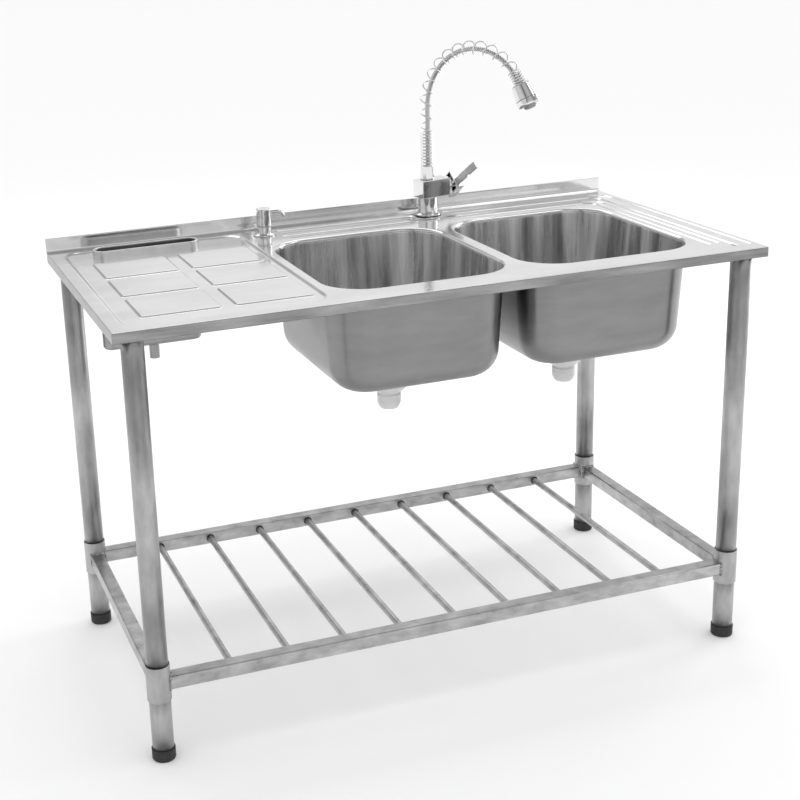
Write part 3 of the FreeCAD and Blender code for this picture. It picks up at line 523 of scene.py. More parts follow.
# %% Press the worktop
def pressed_worktop():
    bm = bmesh.new()
    rim = rounded_face(bm, deck_low.x, deck_high.x, deck_low.y, deck_high.y, RIM_CORNER, deck_low.z,
                       steps=5)
    skirt = TOP - deck_low.z
    press(bm, rim, [(0, 1.0), (0, skirt - EDGE_ROUND - 2.0), (0, 1.0)]
          + quarter(EDGE_ROUND, "rise", steps=4) + [(GUARD, 0), (RIM_FLAT, 0)])
    drop_face(bm, rim)
    hem = [e for e in bm.edges if e.is_boundary and all(abs(v.co.z - deck_low.z) < 1e-3 for v in e.verts)]
    turned_in = pull(bm, hem)[1]
    width, depth = deck_high.x - deck_low.x, deck_high.y - deck_low.y
    bmesh.ops.scale(bm, vec=(1 - 2 * SKIRT_LIP / width, 1 - 2 * SKIRT_LIP / depth, 1), verts=turned_in)

    reach = RECESS_SHOULDER / 2 + GUARD
    recess = rounded_face(bm, *grown(RECESS, reach), RECESS_CORNER + reach, TOP)
    press(bm, recess, guarded(soft_step(RECESS_SHOULDER, RECESS_FLOOR - TOP, steps=10)))
    drop_face(bm, recess)
    for x in PAD_COLUMNS:
        for y in PAD_ROWS:
            edges = (x, x + PAD_SIZE[0], y, y + PAD_SIZE[1])
            pad = rounded_face(bm, *grown(edges, PAD_SHOULDER / 2 + GUARD), PAD_CORNER, RECESS_FLOOR,
                               steps=5)
            press(bm, pad, guarded(soft_step(PAD_SHOULDER, PAD_RISE)))
    knife_low, knife_high = corners("knife_collar")
    slot_edges = grown((knife_low.x, knife_high.x, knife_low.y, knife_high.y), -COLLAR_FLANGE)
    half_slot = (slot_edges[3] - slot_edges[2]) / 2
    drop_face(bm, rounded_face(bm, *slot_edges, half_slot - ALMOST, RECESS_FLOOR))
    fill_level(bm, RECESS_FLOOR)

    for side in ("left", "right"):
        low, high = corners("bowl_" + side)
        reach = LIP_ROUND + GUARD - SHEET
        mouth = rounded_face(bm, *grown((low.x, high.x, low.y, high.y), reach), BOWL_CORNER + reach, TOP,
                             steps=BOWL_CORNER_STEPS)
        press(bm, mouth, [(GUARD, 0)] + quarter(LIP_ROUND, "fall"))
        drop_face(bm, mouth)
    for x, y, radius in FITTING_HOLES:
        ring = bmesh.ops.create_circle(bm, cap_ends=False, radius=radius, segments=32)["verts"]
        bmesh.ops.translate(bm, vec=(x, y, TOP), verts=ring)
    shoulder = guarded(soft_step(SHOULDER, -CHANNEL_DEPTH))
    groove = guarded(soft_step(SHOULDER, -GROOVE_DEPTH))
    out = SHOULDER / 2 + GUARD
    for side, back, front_end, left_end, in_side, in_back, bend in CHANNELS:
        band = band_face(bm, (side[0] - out, side[1] + out), (back[0] - out, back[1] + out),
                         front_end - out, left_end - out, bend, TOP)
        press(bm, band, shoulder)
        drop_face(bm, band)
        cut = band_face(bm, in_side, in_back, front_end + GROOVE_SET_BACK, left_end + GROOVE_SET_BACK, bend,
                        TOP - CHANNEL_DEPTH)
        press(bm, cut, groove)
    short = rounded_face(bm, *grown(SHORT_CHANNEL, out), 18, TOP)
    press(bm, short, shoulder)
    drop_face(bm, short)
    cut = rounded_face(bm, *SHORT_GROOVE, 6, TOP - CHANNEL_DEPTH)
    press(bm, cut, groove)
    fill_level(bm, TOP - CHANNEL_DEPTH)
    fill_level(bm, TOP)
    bmesh.ops.remove_doubles(bm, verts=bm.verts, dist=1e-3)
    bm.normal_update()
    # Faces of the skirt take the darker edge steel: painted shade on the downturned face.
    for face in bm.faces:
        centre = face.calc_center_median()
        outside = abs(centre.x) > deck_high.x - SKIN or abs(centre.y) > deck_high.y - SKIN
        face.material_index = 1 if outside and centre.z < TOP - 1 else 0
    return bm


worktop = finished("worktop_sheet", pressed_worktop(), "sink", [sheet_steel, edge_steel],
                   ["worktop"])
thicken(worktop, SHEET)
steady(worktop)
print("worktop faces:", len(worktop.data.polygons))

# %% [markdown]
# ## The upstand
# The back edge of the sheet is folded up in a soft cove and its top is turned over, so no raw edge shows.
# One line of points drawn from the side is pulled along the whole width.

# %% Fold the upstand
COVE = 5.0
HEM = 12.0


def arc(centre_y, centre_z, radius, start, end, steps):
    """Points of an arc in the YZ plane; angles in degrees from +Y towards +Z."""
    turns = [math.radians(start + (end - start) * k / steps) for k in range(steps + 1)]
    return [(centre_y + radius * math.cos(t), centre_z + radius * math.sin(t)) for t in turns]


def folded_upstand():
    bm = bmesh.new()
    front = deck_high.y - 2 * SHEET
    fold = deck_high.z - 3
    line = arc(front - COVE, TOP + COVE, COVE, -90, 0, 8) + [(front, TOP + COVE + 1), (front, fold)]
    line += arc(deck_high.y - SHEET, deck_high.z - SHEET, SHEET, 180, 0, 8)
    line += [(deck_high.y, fold), (deck_high.y, deck_high.z - HEM)]
    verts = [bm.verts.new((deck_low.x, y, z)) for y, z in line]
    edges = [bm.edges.new(pair) for pair in zip(verts, verts[1:])]
    pull(bm, edges, (deck_high.x - deck_low.x, 0, 0))
    bmesh.ops.recalc_face_normals(bm, faces=bm.faces)
    bm.normal_update()
    if max(bm.faces, key=lambda f: f.calc_area()).normal.y > 0:
        bmesh.ops.reverse_faces(bm, faces=bm.faces)
    return bm


upstand = finished("upstand_sheet", folded_upstand(), "sink", [sheet_steel], ["worktop"])
thicken(upstand, 1.0)
steady(upstand)

# %% [markdown]
# ## The bowls
# Each bowl is deep-drawn: straight drafted walls, a big round into the floor, and a dished seat for the
# waste. The same pressing steps work downwards here, and the wall's thickness is added behind.

# %% Draw the bowls
BOWL_DRAFT = 9.0
FLOOR_ROUND = 46.8
SEAT_DEPTH = 6.0
SEAT_RADIUS = 62.0
SEAT_SHOULDER = 4.5
SEAT_BREAK = 0.3
CUP_HOLE = 42.0


def drawn_bowl(side):
    bm = bmesh.new()
    low, high = corners("bowl_" + side)
    floor = low.z + SEAT_DEPTH + SHEET
    edges = grown((low.x, high.x, low.y, high.y), -SHEET)
    wall = TOP - LIP_ROUND - floor - FLOOR_ROUND
    mouth = rounded_face(bm, *edges, BOWL_CORNER - SHEET, TOP - LIP_ROUND, steps=BOWL_CORNER_STEPS)
    steps = [(0.1, -3.0)] + [((BOWL_DRAFT - 0.3) / 6, -(wall - 6.0) / 6)] * 6 + [(0.2, -3.0)]
    press(bm, mouth, steps + quarter(FLOOR_ROUND, "floor", steps=12) + [(1.0, 0)])
    drop_face(bm, mouth)
    seat_ring = bmesh.ops.create_circle(bm, cap_ends=True, radius=SEAT_RADIUS, segments=72)["verts"]
    bmesh.ops.translate(bm, vec=((low.x + high.x) / 2, (low.y + high.y) / 2, floor), verts=seat_ring)
    seat = next(f for f in seat_ring[0].link_faces if len(f.verts) > 4)
    seat.normal_update()
    if seat.normal.z < 0:
        seat.normal_flip()
    flat = SEAT_RADIUS - CUP_HOLE - SEAT_SHOULDER - GUARD - SEAT_BREAK
    press(bm, seat, [(GUARD, 0)] + soft_step(SEAT_SHOULDER, -SEAT_DEPTH) + [(SEAT_BREAK, 0), (flat, 0)])
    drop_face(bm, seat)
    fill_level(bm, floor)
    bmesh.ops.remove_doubles(bm, verts=bm.verts, dist=1e-3)
    bm.normal_update()
    return bm


for side in ("left", "right"):
    bowl = finished("bowl_" + side + "_sheet", drawn_bowl(side), "sink",
                    [bowl_inside_steel, bowl_outside_steel], ["bowl_" + side])
    thicken(bowl, SHEET, outside_material=1)
    steady(bowl)
    print("bowl", side, "faces:", len(bowl.data.polygons))

# %% [markdown]
# ## The knife holder
# A low oblong collar is folded from satin sheet and stands on the drainer. Its deep box stays the CAD node.

# %% Shape the knife holder's collar
def oblong_collar():
    bm = bmesh.new()
    low, high = corners("knife_collar")
    face = rounded_face(bm, low.x, high.x, low.y, high.y, (high.y - low.y) / 2 - ALMOST, low.z, steps=14)
    height = high.z - low.z
    press(bm, face, [(0, 0.8), (0, height - 3.2), (0, 0.8)] + quarter(1.6, "rise", steps=5)
          + [(0.4, 0), (1.4, 0), (0.4, 0)] + quarter(1.2, "fall", steps=4) + [(0, -0.8), (0, 3 - height)])
    drop_face(bm, face)
    return bm


finished("knife_holder_collar", oblong_collar(), "sink", [holder_steel],
         ["knife_collar"])

# %% [markdown]
# ## The stand
# Round legs slip through joining sleeves, square rails are welded to the sleeves, and round bars make the
# shelf. Tubes are turned from a short profile. A square tube is never sharp, so the rails get a 2 mm round.

# %% Turn the legs, sleeves and rubber caps
LEGS = ("front_left", "front_right", "rear_left", "rear_right")
LEG_RADIUS = 19.0
TUBE_WALL = 1.5
FOOT_FLOOR = 3.0


def tube_at(bm, node_low, node_high, profile, closed=True, steps=48):
    """A turned tube on the middle line of a CAD node."""
    verts = turned(bm, profile, closed=closed, steps=steps)
    middle = ((node_low.x + node_high.x) / 2, (node_low.y + node_high.y) / 2, 0)
    bmesh.ops.translate(bm, vec=middle, verts=verts)


def wall_profile(radius, bottom, top):
    """The cut through a plain tube's wall."""
    return [(radius, bottom), (radius, top), (radius - TUBE_WALL, top), (radius - TUBE_WALL, bottom)]


foot_bm = bmesh.new()
lower_bm = bmesh.new()
cap_top = corners("foot_caps")[1].z
for leg in LEGS:
    low, high = corners("leg_" + leg)
    radius = (high.x - low.x) / 2
    bm = bmesh.new()
    tube_at(bm, low, high, wall_profile(radius, low.z, high.z))
    finished("leg_tube_" + leg, bm, "sink", [tube_steel], ["leg_" + leg])
    tube_at(lower_bm, low, high, wall_profile(radius, FOOT_FLOOR, low.z - 0.5))
    tube_at(foot_bm, low, high,
            [(0, 0), (18.0, 0), (19.8, 0.7), (20.8, 2.6), (20.8, cap_top - 1.2), (20.4, cap_top - 0.3),
             (19.7, cap_top), (19.1, cap_top - 0.6), (19.1, FOOT_FLOOR), (0, FOOT_FLOOR)], closed=False)
    low, high = corners("sleeve_" + leg)
    outer = (high.x - low.x) / 2
    bm = bmesh.new()
    mouth, bore = outer - 1.2, outer - 2.1
    tube_at(bm, low, high,
            [(outer, low.z + 0.6), (outer, high.z - 0.6), (outer - 0.3, high.z), (outer - 1.0, high.z),
             (mouth, high.z - 0.5), (mouth, high.z - 9), (bore, high.z - 10), (bore, low.z + 10),
             (mouth, low.z + 9), (mouth, low.z + 0.5), (outer - 1.0, low.z), (outer - 0.3, low.z)])
    finished("sleeve_tube_" + leg, bm, "sink", [tube_steel], ["sleeve_" + leg])
finished("lower_leg_tubes", lower_bm, "sink", [tube_steel], ["lower_legs"])
finished("rubber_feet", foot_bm, "sink", [rubber], ["foot_caps"])

# %% Round the square rails and the shelf bars
SLEEVE_RADIUS = 21.2
RAIL_ROUND = 2.2
INTO_SLEEVE = 4.5
rail_gap = LEG_RADIUS + SLEEVE_RADIUS - INTO_SLEEVE
for rail in ("front", "rear", "left", "right"):
    low, high = corners("rail_" + rail)
    along = 0 if rail in ("front", "rear") else 1
    low[along] = corners("leg_front_left")[0][along] + rail_gap
    high[along] = corners("leg_rear_right")[1][along] - rail_gap
    bm = bmesh.new()
    block(bm, low.x, high.x, low.y, high.y, low.z, high.z)
    lengthwise = [e for e in bm.edges if abs((e.verts[0].co - e.verts[1].co)[along]) > 100]
    round_off(bm, lengthwise, RAIL_ROUND, 5, "EDGES")
    piece = finished("square_rail_" + rail, bm, "sink", [rail_steel], ["rail_" + rail])
    steady(piece)

burn_bm = bmesh.new()
for number in range(1, 10):
    low, high = corners("shelf_bar_" + str(number))
    radius = (high.x - low.x) / 2
    centre = (low + high) / 2
    bm = bmesh.new()
    bar = bmesh.ops.create_cone(bm, cap_ends=True, segments=28, radius1=radius, radius2=radius,
                                depth=high.y - low.y)["verts"]
    bmesh.ops.rotate(bm, cent=(0, 0, 0), matrix=Matrix.Rotation(math.pi / 2, 3, "X"), verts=bar)
    bmesh.ops.translate(bm, vec=centre, verts=bar)
    piece = finished("shelf_rod_" + str(number), bm, "sink", [rail_steel],
                     ["shelf_bar_" + str(number)])
    steady(piece)
    for end, way in ((low.y, 1), (high.y, -1)):
        ring = turned(burn_bm, [(radius - 0.4, 2.6), (radius + 0.8, 1.9), (radius + 2.0, 0.8),
                                (radius + 2.5, 0)], steps=18)
        bmesh.ops.rotate(burn_bm, cent=(0, 0, 0), matrix=Matrix.Rotation(-way * math.pi / 2, 3, "X"),
                         verts=ring)
        bmesh.ops.translate(burn_bm, vec=(centre.x, end, centre.z), verts=ring)
finished("bar_welds", burn_bm, "sink", [burnt_steel])

# %% [markdown]
# ## Welds
# Each rail is tacked round its end by hand, which leaves a row of overlapping scales. A scale is a small
# flattened ball set on the sleeve's round, and a seeded random makes every run a little uneven.

# %% Lay the weld beads
BEAD = 2.5
lay = random.Random(7)


def bead_row(bm, axis_x, axis_y, along, toward, low_z, high_z):
    """Beads round the square end of one rail, on the sleeve about an upright axis."""
    half = (high_z - low_z) / 2
    middle = (high_z + low_z) / 2
    count = 8
    spots = [(-half + 2 * half * k / count, side * half) for k in range(count + 1) for side in (-1, 1)]
    spots += [(side * half, -half + 2 * half * k / count) for k in range(1, count) for side in (-1, 1)]
    for across, up in spots:
        out = math.sqrt(SLEEVE_RADIUS ** 2 - across ** 2) + 0.6
        size = BEAD * lay.uniform(0.75, 1.2)
        ball = bmesh.ops.create_icosphere(bm, subdivisions=2, radius=size)["verts"]
        bmesh.ops.scale(bm, vec=(1.0, 1.0, lay.uniform(0.65, 0.9)), verts=ball)
        shift = Vector((out * toward, across, 0)) if along == 0 else Vector((across, out * toward, 0))
        shift += Vector((axis_x + lay.uniform(-0.4, 0.4), axis_y + lay.uniform(-0.4, 0.4),
                         middle + up + lay.uniform(-0.5, 0.5)))
        bmesh.ops.translate(bm, vec=shift, verts=ball)


weld_bm = bmesh.new()
rail_low, rail_high = corners("rail_front")
for leg in LEGS:
    low, high = corners("leg_" + leg)
    x, y = (low.x + high.x) / 2, (low.y + high.y) / 2
    bead_row(weld_bm, x, y, 0, -math.copysign(1, x), rail_low.z, rail_high.z)
    bead_row(weld_bm, x, y, 1, -math.copysign(1, y), rail_low.z, rail_high.z)
welds = finished("rail_welds", weld_bm, "sink", [weld_steel])
print("weld faces:", len(welds.data.polygons))

# %% [markdown]
# ## The tap's body
# The mixer is chromed brass: a turned foot and column, a square block, and a square cap on the lever. Chrome
# shows every facet, so each piece has fine round edges.

# %% Place shapes on the tap
tap_turn = math.atan2(joints["lever_turn"]["axis"][1], joints["lever_turn"]["axis"][0])
on_tap = Matrix.Translation((tap_axis.x, tap_axis.y, 0)) @ Matrix.Rotation(tap_turn, 4, "Z")
block_low, block_high = corners("tap_block")
lever_pivot = Vector(joints["lever_lift"]["pos_m"]) / MM
pivot_reach = (lever_pivot - tap_axis).xy.length
pivot_z = lever_pivot.z


def placed(bm, matrix, verts=None):
    """Move vertices, or the whole mesh, by a matrix."""
    bmesh.ops.transform(bm, matrix=matrix, verts=verts or bm.verts)


def turned_piece(name, node, body, place, profile, closed=True, steps=72):
    """A chromed turning in the place of one CAD node."""
    bm = bmesh.new()
    turned(bm, profile, closed=closed, steps=steps)
    placed(bm, place)
    steady(finished(name, bm, body, [chrome], [node]))


# %% Turn the foot and cast the block
low, high = corners("tap_base")
radius = (high.x - low.x) / 2
turned_piece("tap_foot_flange", "tap_base", "sink", on_tap,
             [(16.1, low.z), (radius - 0.6, low.z), (radius, low.z + 0.5), (radius, low.z + 1.8),
              (radius - 0.5, low.z + 2.5), (radius - 2.2, low.z + 3.6), (21.4, high.z - 0.6),
              (20.4, high.z), (16.1, high.z)], steps=96)
foot_top = high.z
low, high = corners("tap_column")
turned_piece("tap_round_column", "tap_column", "sink", on_tap,
             [(0, low.z), (15.2, low.z), (16.0, low.z + 0.8), (16.0, foot_top), (19.4, foot_top),
              (20.0, foot_top + 0.6), (20.0, high.z - 0.5), (19.5, high.z), (0, high.z)],
             closed=False, steps=96)


def valve_block():
    bm = bmesh.new()
    block(bm, -23.0, 44.5, -18.0, 18.0, block_low.z, block_high.z)
    soften(bm, 1.5, segments=4)
    boss = turned(bm, [(0, 43.0), (17.5, 43.0), (17.5, 49.4), (16.9, 50.0), (15.0, 50.0), (15.0, 46.0),
                       (0, 46.0)], steps=72)
    placed(bm, Matrix.Translation((0, 0, pivot_z)) @ Matrix.Rotation(math.pi / 2, 4, "Y"), boss)
    placed(bm, on_tap)
    return bm


steady(finished("tap_valve_block", valve_block(), "sink", [chrome], ["tap_block"]))


# %% Cast the lever
# The cap is a square shell, open at the back. The blade stands on one side of it, leans out and has a nick.
lever_swing = math.asin(joints["lever_lift"]["axis"][2])
CAP_BACK, CAP_FRONT = 21.5, 39.5
CAP_HALF = 20.0
BLADE = (58.0, 15.0, 5.0)
BLADE_LEAN = math.radians(16.0)
BLADE_ROOT = (27.4, -7.5, CAP_HALF)
NICK = (25.0, 27.0, 32.0, 34.0)
NICK_DEPTH = 3.0


def cast_lever():
    bm = bmesh.new()
    arm = block(bm, 0, CAP_FRONT - 1, -5.0, 5.0, -4.0, 4.0)
    soften(bm, 1.0, segments=2, verts=arm)
    eye = turned(bm, [(2.06, -6.0), (4.0, -6.0), (4.0, 6.0), (2.06, 6.0)], closed=True, steps=32)
    placed(bm, Matrix.Rotation(math.pi / 2, 4, "X"), eye)
    before = set(bm.verts)
    cap = block(bm, CAP_BACK, CAP_FRONT, -CAP_HALF, CAP_HALF, -CAP_HALF, CAP_HALF)
    back = min({f for v in cap for f in v.link_faces}, key=lambda f: f.calc_center_median().x)
    press(bm, back, [(2.0, 0), (0, -15.0)])
    soften(bm, 1.2, segments=4, verts=[v for v in bm.verts if v not in before])
    before = set(bm.verts)
    length, breadth, thick = BLADE
    block(bm, -thick / 2, thick / 2, -breadth / 2, breadth / 2, -1.0, length)
    for cut in NICK:
        fresh = [v for v in bm.verts if v not in before]
        shape = list({g for v in fresh for g in (*v.link_edges, *v.link_faces)}) + fresh
        bmesh.ops.bisect_plane(bm, geom=shape, plane_co=(0, 0, cut), plane_no=(0, 0, 1))
    nick = [v for v in bm.verts if v not in before and NICK[0] + 1 < v.co.z < NICK[3] - 1 and v.co.y < 0]
    bmesh.ops.translate(bm, vec=(0, NICK_DEPTH, 0), verts=nick)
    soften(bm, 0.6, segments=3, angle=60, verts=[v for v in bm.verts if v not in before])
    fresh = [v for v in bm.verts if v not in before]
    placed(bm, Matrix.Translation(BLADE_ROOT) @ Matrix.Rotation(BLADE_LEAN, 4, "Y"), fresh)
    for face in {f for v in fresh for f in v.link_faces}:
        face.material_index = 1
    at_pivot = Matrix.Translation((pivot_reach, 0, pivot_z)) @ Matrix.Rotation(lever_swing, 4, "X")
    placed(bm, on_tap @ at_pivot)
    return bm


steady(finished("tap_lever_casting", cast_lever(), "lever", [chrome, satin_chrome],
                ["tap_lever"]))

# %% [markdown]
# ## The spring spout
# A sprung wire guards the hose: wound close at the foot, open round the bend, and close again above the
# head. A coil is a curve whose points walk round the spout's middle line, and a round bevel gives the wire
# its thickness. The middle line is worked out from the head's place and direction in the CAD model.

# %% The spout's middle line
head_place = Vector(joints["spray_ring_turn"]["pos_m"]) / MM
head_way = Vector(joints["spray_ring_turn"]["axis"]).normalized()
bend = math.acos(head_way.z)
reach = (head_place - tap_axis).xy.length
bend_radius = reach / (1 - math.cos(bend))
bend_start = head_place.z - bend_radius * math.sin(bend)
spring_foot = corners("tap_ferrule")[1].z
rise = bend_start - spring_foot
spring_length = rise + bend_radius * bend
spout_turn = math.atan2(head_way.y, head_way.x)
on_spout = Matrix.Translation((tap_axis.x, tap_axis.y, 0)) @ Matrix.Rotation(spout_turn, 4, "Z")
print("bend", round(math.degrees(bend)), "degrees, radius", round(bend_radius, 1), "mm, spring",
      round(spring_length), "mm")


def along_spout(distance):
    """Point on the middle line and the direction towards the inside of the bend, before on_spout."""
    if distance <= rise:
        return Vector((0, 0, spring_foot + distance)), Vector((1, 0, 0))
    turn = (distance - rise) / bend_radius
    inward = Vector((math.cos(turn), 0, -math.sin(turn)))
    return Vector((bend_radius, 0, bend_start)) - inward * bend_radius, inward


# %% Wind the coil
# The close stretches give length, turns and radius; the open one between them gives turns and radius.
WIRE = 1.5
CLOSE_FOOT = (70.0, 11, 11.4)
CLOSE_HEAD = (26.0, 5, 12.2)
OPEN_STRETCH = (13, 12.6)
TURN_STEPS = 28


def coil_points():
    """Walk up the spring; each stretch has its own length, number of turns and radius."""
    open_length = spring_length - CLOSE_FOOT[0] - CLOSE_HEAD[0]
    stretches = (CLOSE_FOOT, (open_length, *OPEN_STRETCH), CLOSE_HEAD)
    points = []
    start = 0.0
    for length, turns, radius in stretches:
        for k in range(turns * TURN_STEPS):
            distance = start + length * k / (turns * TURN_STEPS)
            middle, inward = along_spout(distance)
            angle = 2 * math.pi * k / TURN_STEPS
            sideways = Vector((0, -radius * math.sin(angle), 0))
            points.append(middle + inward * radius * math.cos(angle) + sideways)
        start += length
    return [on_spout @ p for p in points]


def wire_piece(name, points, radius, body, material, nodes):
    """A round wire along points, as a mesh."""
    curve = bpy.data.curves.new(name + "_line", "CURVE")
    curve.dimensions = "3D"
    curve.bevel_depth = radius * MM
    curve.bevel_resolution = 3
    curve.use_fill_caps = True
    spline = curve.splines.new("POLY")
    spline.points.add(len(points) - 1)
    for target, point in zip(spline.points, points):
        target.co = (*(point * MM), 1)
    holder = bpy.data.objects.new(name + "_line", curve)
    bm = bmesh.new()
    bm.from_mesh(bpy.data.meshes.new_from_object(holder))
    bmesh.ops.scale(bm, vec=(1 / MM, 1 / MM, 1 / MM), verts=bm.verts)
    bpy.data.objects.remove(holder)
    return finished(name, bm, body, [material], nodes)


coil = wire_piece("spout_coil", coil_points(), WIRE, "spout", spring_steel, ["tap_spring"])
print("coil faces:", len(coil.data.polygons))

# %% [markdown]
# The hose is a ring of points pulled straight up and then spun round the bend. Its UV map counts strands
# round it and strand lengths along it, so that the braid follows the bend. Real strands are 0.3 mm; they are
# drawn 5 mm apart so that they show.

# %% Lay the braided hose
HOSE = 4.75
HOSE_IN = 2.5
HOSE_START = 12.0
STRANDS_ROUND = 6
STRAND_LENGTH = 5.0


def braided_hose():
    bm = bmesh.new()
    ring = bmesh.ops.create_circle(bm, cap_ends=False, radius=HOSE, segments=24)["verts"]
    bmesh.ops.translate(bm, vec=(HOSE_IN, 0, spring_foot - HOSE_START), verts=ring)
    edges = list({e for v in ring for e in v.link_edges})
    for lift in [HOSE_START] + [rise / 8] * 8:
        edges, last = pull(bm, edges, (0, 0, lift))
    bmesh.ops.spin(bm, geom=last + edges, cent=(bend_radius, 0, bend_start), axis=(0, 1, 0), angle=bend,
                   steps=48, use_merge=False, use_duplicate=False)
    bmesh.ops.remove_doubles(bm, verts=bm.verts, dist=1e-3)
    bmesh.ops.recalc_face_normals(bm, faces=bm.faces)
    layer = bm.loops.layers.uv.new("braid")
    for face in bm.faces:
        first = None
        for loop in face.loops:
            around, distance = hose_place(loop.vert.co)
            if first is None:
                first = around
            around -= round(around - first)
            loop[layer].uv = (around * STRANDS_ROUND, distance / STRAND_LENGTH)
    placed(bm, on_spout)
    return bm


def hose_place(point):
    """How far round the hose, from 0 to 1, and how far along it a point lies."""
    if point.z <= bend_start + 1e-3 and point.x < bend_radius:
        return math.atan2(point.y, point.x - HOSE_IN) / (2 * math.pi), point.z - spring_foot
    turn = math.atan2(point.z - bend_start, bend_radius - point.x)
    out = bend_radius - Vector((bend_radius - point.x, point.z - bend_start)).length
    return math.atan2(point.y, out - HOSE_IN) / (2 * math.pi), rise + bend_radius * turn


finished("braided_supply", braided_hose(), "spout", [braid], ["tap_hose"])

# %% [markdown]
# ## Ferrule and spray head
# Both are turned. The head's profile is modelled mouth up and then laid along the end of the bend.

# %% Turn the ferrule and the head
HEAD_JOIN = 32.0
head_turn = Vector((0, 0, 1)).rotation_difference(head_way).to_matrix().to_4x4()
on_head = Matrix.Translation(head_place) @ head_turn
low, high = corners("tap_ferrule")
turned_piece("spout_ferrule", "tap_ferrule", "spout", Matrix.Translation((tap_axis.x, tap_axis.y, 0)),
             [(7.6, low.z), (9.9, low.z), (9.9, block_high.z + 0.3), (13.6, block_high.z + 0.3),
              (14.2, block_high.z + 0.9), (14.1, block_high.z + 3.0), (13.1, high.z - 1.0),
              (12.6, high.z - 0.2), (12.2, high.z), (8.4, high.z), (7.8, high.z - 0.6)])
turned_piece("spray_head_shell", "spray_body", "spout", on_head,
             [(5.6, 0.1), (13.6, 0.1), (15.4, 0.5), (17.4, 1.6), (18.6, 3.2), (19.2, 5.2),
              (22.1, HEAD_JOIN - 0.8), (21.6, HEAD_JOIN - 0.2), (15.9, HEAD_JOIN - 0.2), (15.9, 39.8),
              (13.5, 39.8), (13.5, 10.0), (5.6, 6.0)])
turned_piece("spray_head_ring", "spray_ring", "spray_ring", on_head,
             [(16.0, HEAD_JOIN + 0.2), (21.7, HEAD_JOIN + 0.2), (22.3, HEAD_JOIN + 0.9), (22.4, 41.4),
              (22.0, 43.4), (21.0, 45.2), (20.0, 46.0), (13.2, 46.0), (12.6, 45.4), (12.0, 44.0),
              (12.0, 42.0), (16.0, 40.6)])

# %% [markdown]
# ## The soap pump
# A turned flange and sleeve, with a nozzle that is a small tube pulled out level and then spun downwards.

# %% Make the soap pump
on_soap = Matrix.Translation((soap_axis.x, soap_axis.y, 0))
low, high = corners("soap_flange")
turned_piece("soap_pump_flange", "soap_flange", "sink", on_soap,
             [(4.1, TOP), (9.5, TOP), (9.5, low.z), (12.0, low.z), (12.0, TOP), (21.5, TOP),
              (22.0, TOP + 0.5), (22.0, TOP + 1.4), (21.6, TOP + 2.0), (19.6, TOP + 3.4),
              (14.4, TOP + 4.6), (13.4, TOP + 5.4), (13.3, high.z - 1.0), (12.3, high.z), (4.1, high.z)])
STEM_HOLE = 4.06
STEM_SEAT = 811.0
SLEEVE_CEILING = 819.5
NOZZLE = 4.4
NOZZLE_REACH = 28.0
NOZZLE_DROP = math.radians(50.0)
NOZZLE_BEND = 10.0
NOZZLE_TIP = 8.5


def pump_head():
    bm = bmesh.new()
    low, high = corners("soap_head")
    radius = soap_axis.x - low.x
    seam = high.z - 12.0
    turned(bm, [(13.7, low.z), (radius - 0.4, low.z), (radius, low.z + 0.4), (radius, seam - 0.5),
                (radius - 0.5, seam - 0.2), (radius - 0.5, seam + 0.2), (radius, seam + 0.5),
                (radius, high.z - 2.8), (radius - 0.5, high.z - 1.5), (radius - 1.5, high.z - 0.6),
                (radius - 3.0, high.z - 0.2), (0, high.z), (0, SLEEVE_CEILING), (STEM_HOLE, SLEEVE_CEILING),
                (STEM_HOLE, STEM_SEAT), (7.0, STEM_SEAT), (7.0, SLEEVE_CEILING), (13.7, SLEEVE_CEILING)],
           closed=True, steps=72)
    before = set(bm.verts)
    level = high.z - 9.5
    root = radius - 1.5
    ring = bmesh.ops.create_circle(bm, cap_ends=False, radius=NOZZLE, segments=24)["verts"]
    placed(bm, Matrix.Translation((root, 0, level)) @ Matrix.Rotation(math.pi / 2, 4, "Y"), ring)
    edges, last = pull(bm, list({e for v in ring for e in v.link_edges}), (NOZZLE_REACH - root, 0, 0))
    spun = bmesh.ops.spin(bm, geom=last + edges, cent=(NOZZLE_REACH, 0, level - NOZZLE_BEND),
                          axis=(0, 1, 0), angle=NOZZLE_DROP, steps=10, use_merge=False,
                          use_duplicate=False)["geom_last"]
    edges = [g for g in spun if isinstance(g, bmesh.types.BMEdge)]
    along = Vector((math.cos(NOZZLE_DROP), 0, -math.sin(NOZZLE_DROP)))
    edges, tip = pull(bm, edges, along * NOZZLE_TIP)
    middle = sum((v.co for v in tip), Vector()) / len(tip)
    bmesh.ops.scale(bm, vec=(0.9, 0.9, 0.9), space=Matrix.Translation(-middle), verts=tip)
    mouth = bmesh.ops.edgeloop_fill(bm, edges=edges)["faces"][0]
    fresh = [v for v in bm.verts if v not in before]
    bmesh.ops.remove_doubles(bm, verts=fresh, dist=1e-3)
    bm.normal_update()
    if mouth.normal.dot(along) < 0:
        mouth.normal_flip()
    press(bm, mouth, [(0.3, 0.2), (0.9, 0.0), (0.3, -0.2), (0, -6.0)])
    fresh = [v for v in bm.verts if v not in before]
    bmesh.ops.recalc_face_normals(bm, faces=list({f for v in fresh for f in v.link_faces}))
    placed(bm, on_soap)
    return bm


steady(finished("soap_pump_head", pump_head(), "pump_head", [chrome], ["soap_head"]))

# %% [markdown]
# ## Studio
# The sink stands on a plain pale floor in a white room. Polished steel shows what surrounds it, so the metal
# sees a room that is bright behind, greyer overhead and towards the viewer, and has a few darker upright
# bands, as between windows. They put the broad soft streaks on the bowls and the tone on the folded edges.

# %% Floor and room
MATT_WHITE = 1.08
BRIGHT_SIDE = (0.42, 0.90, -0.10)
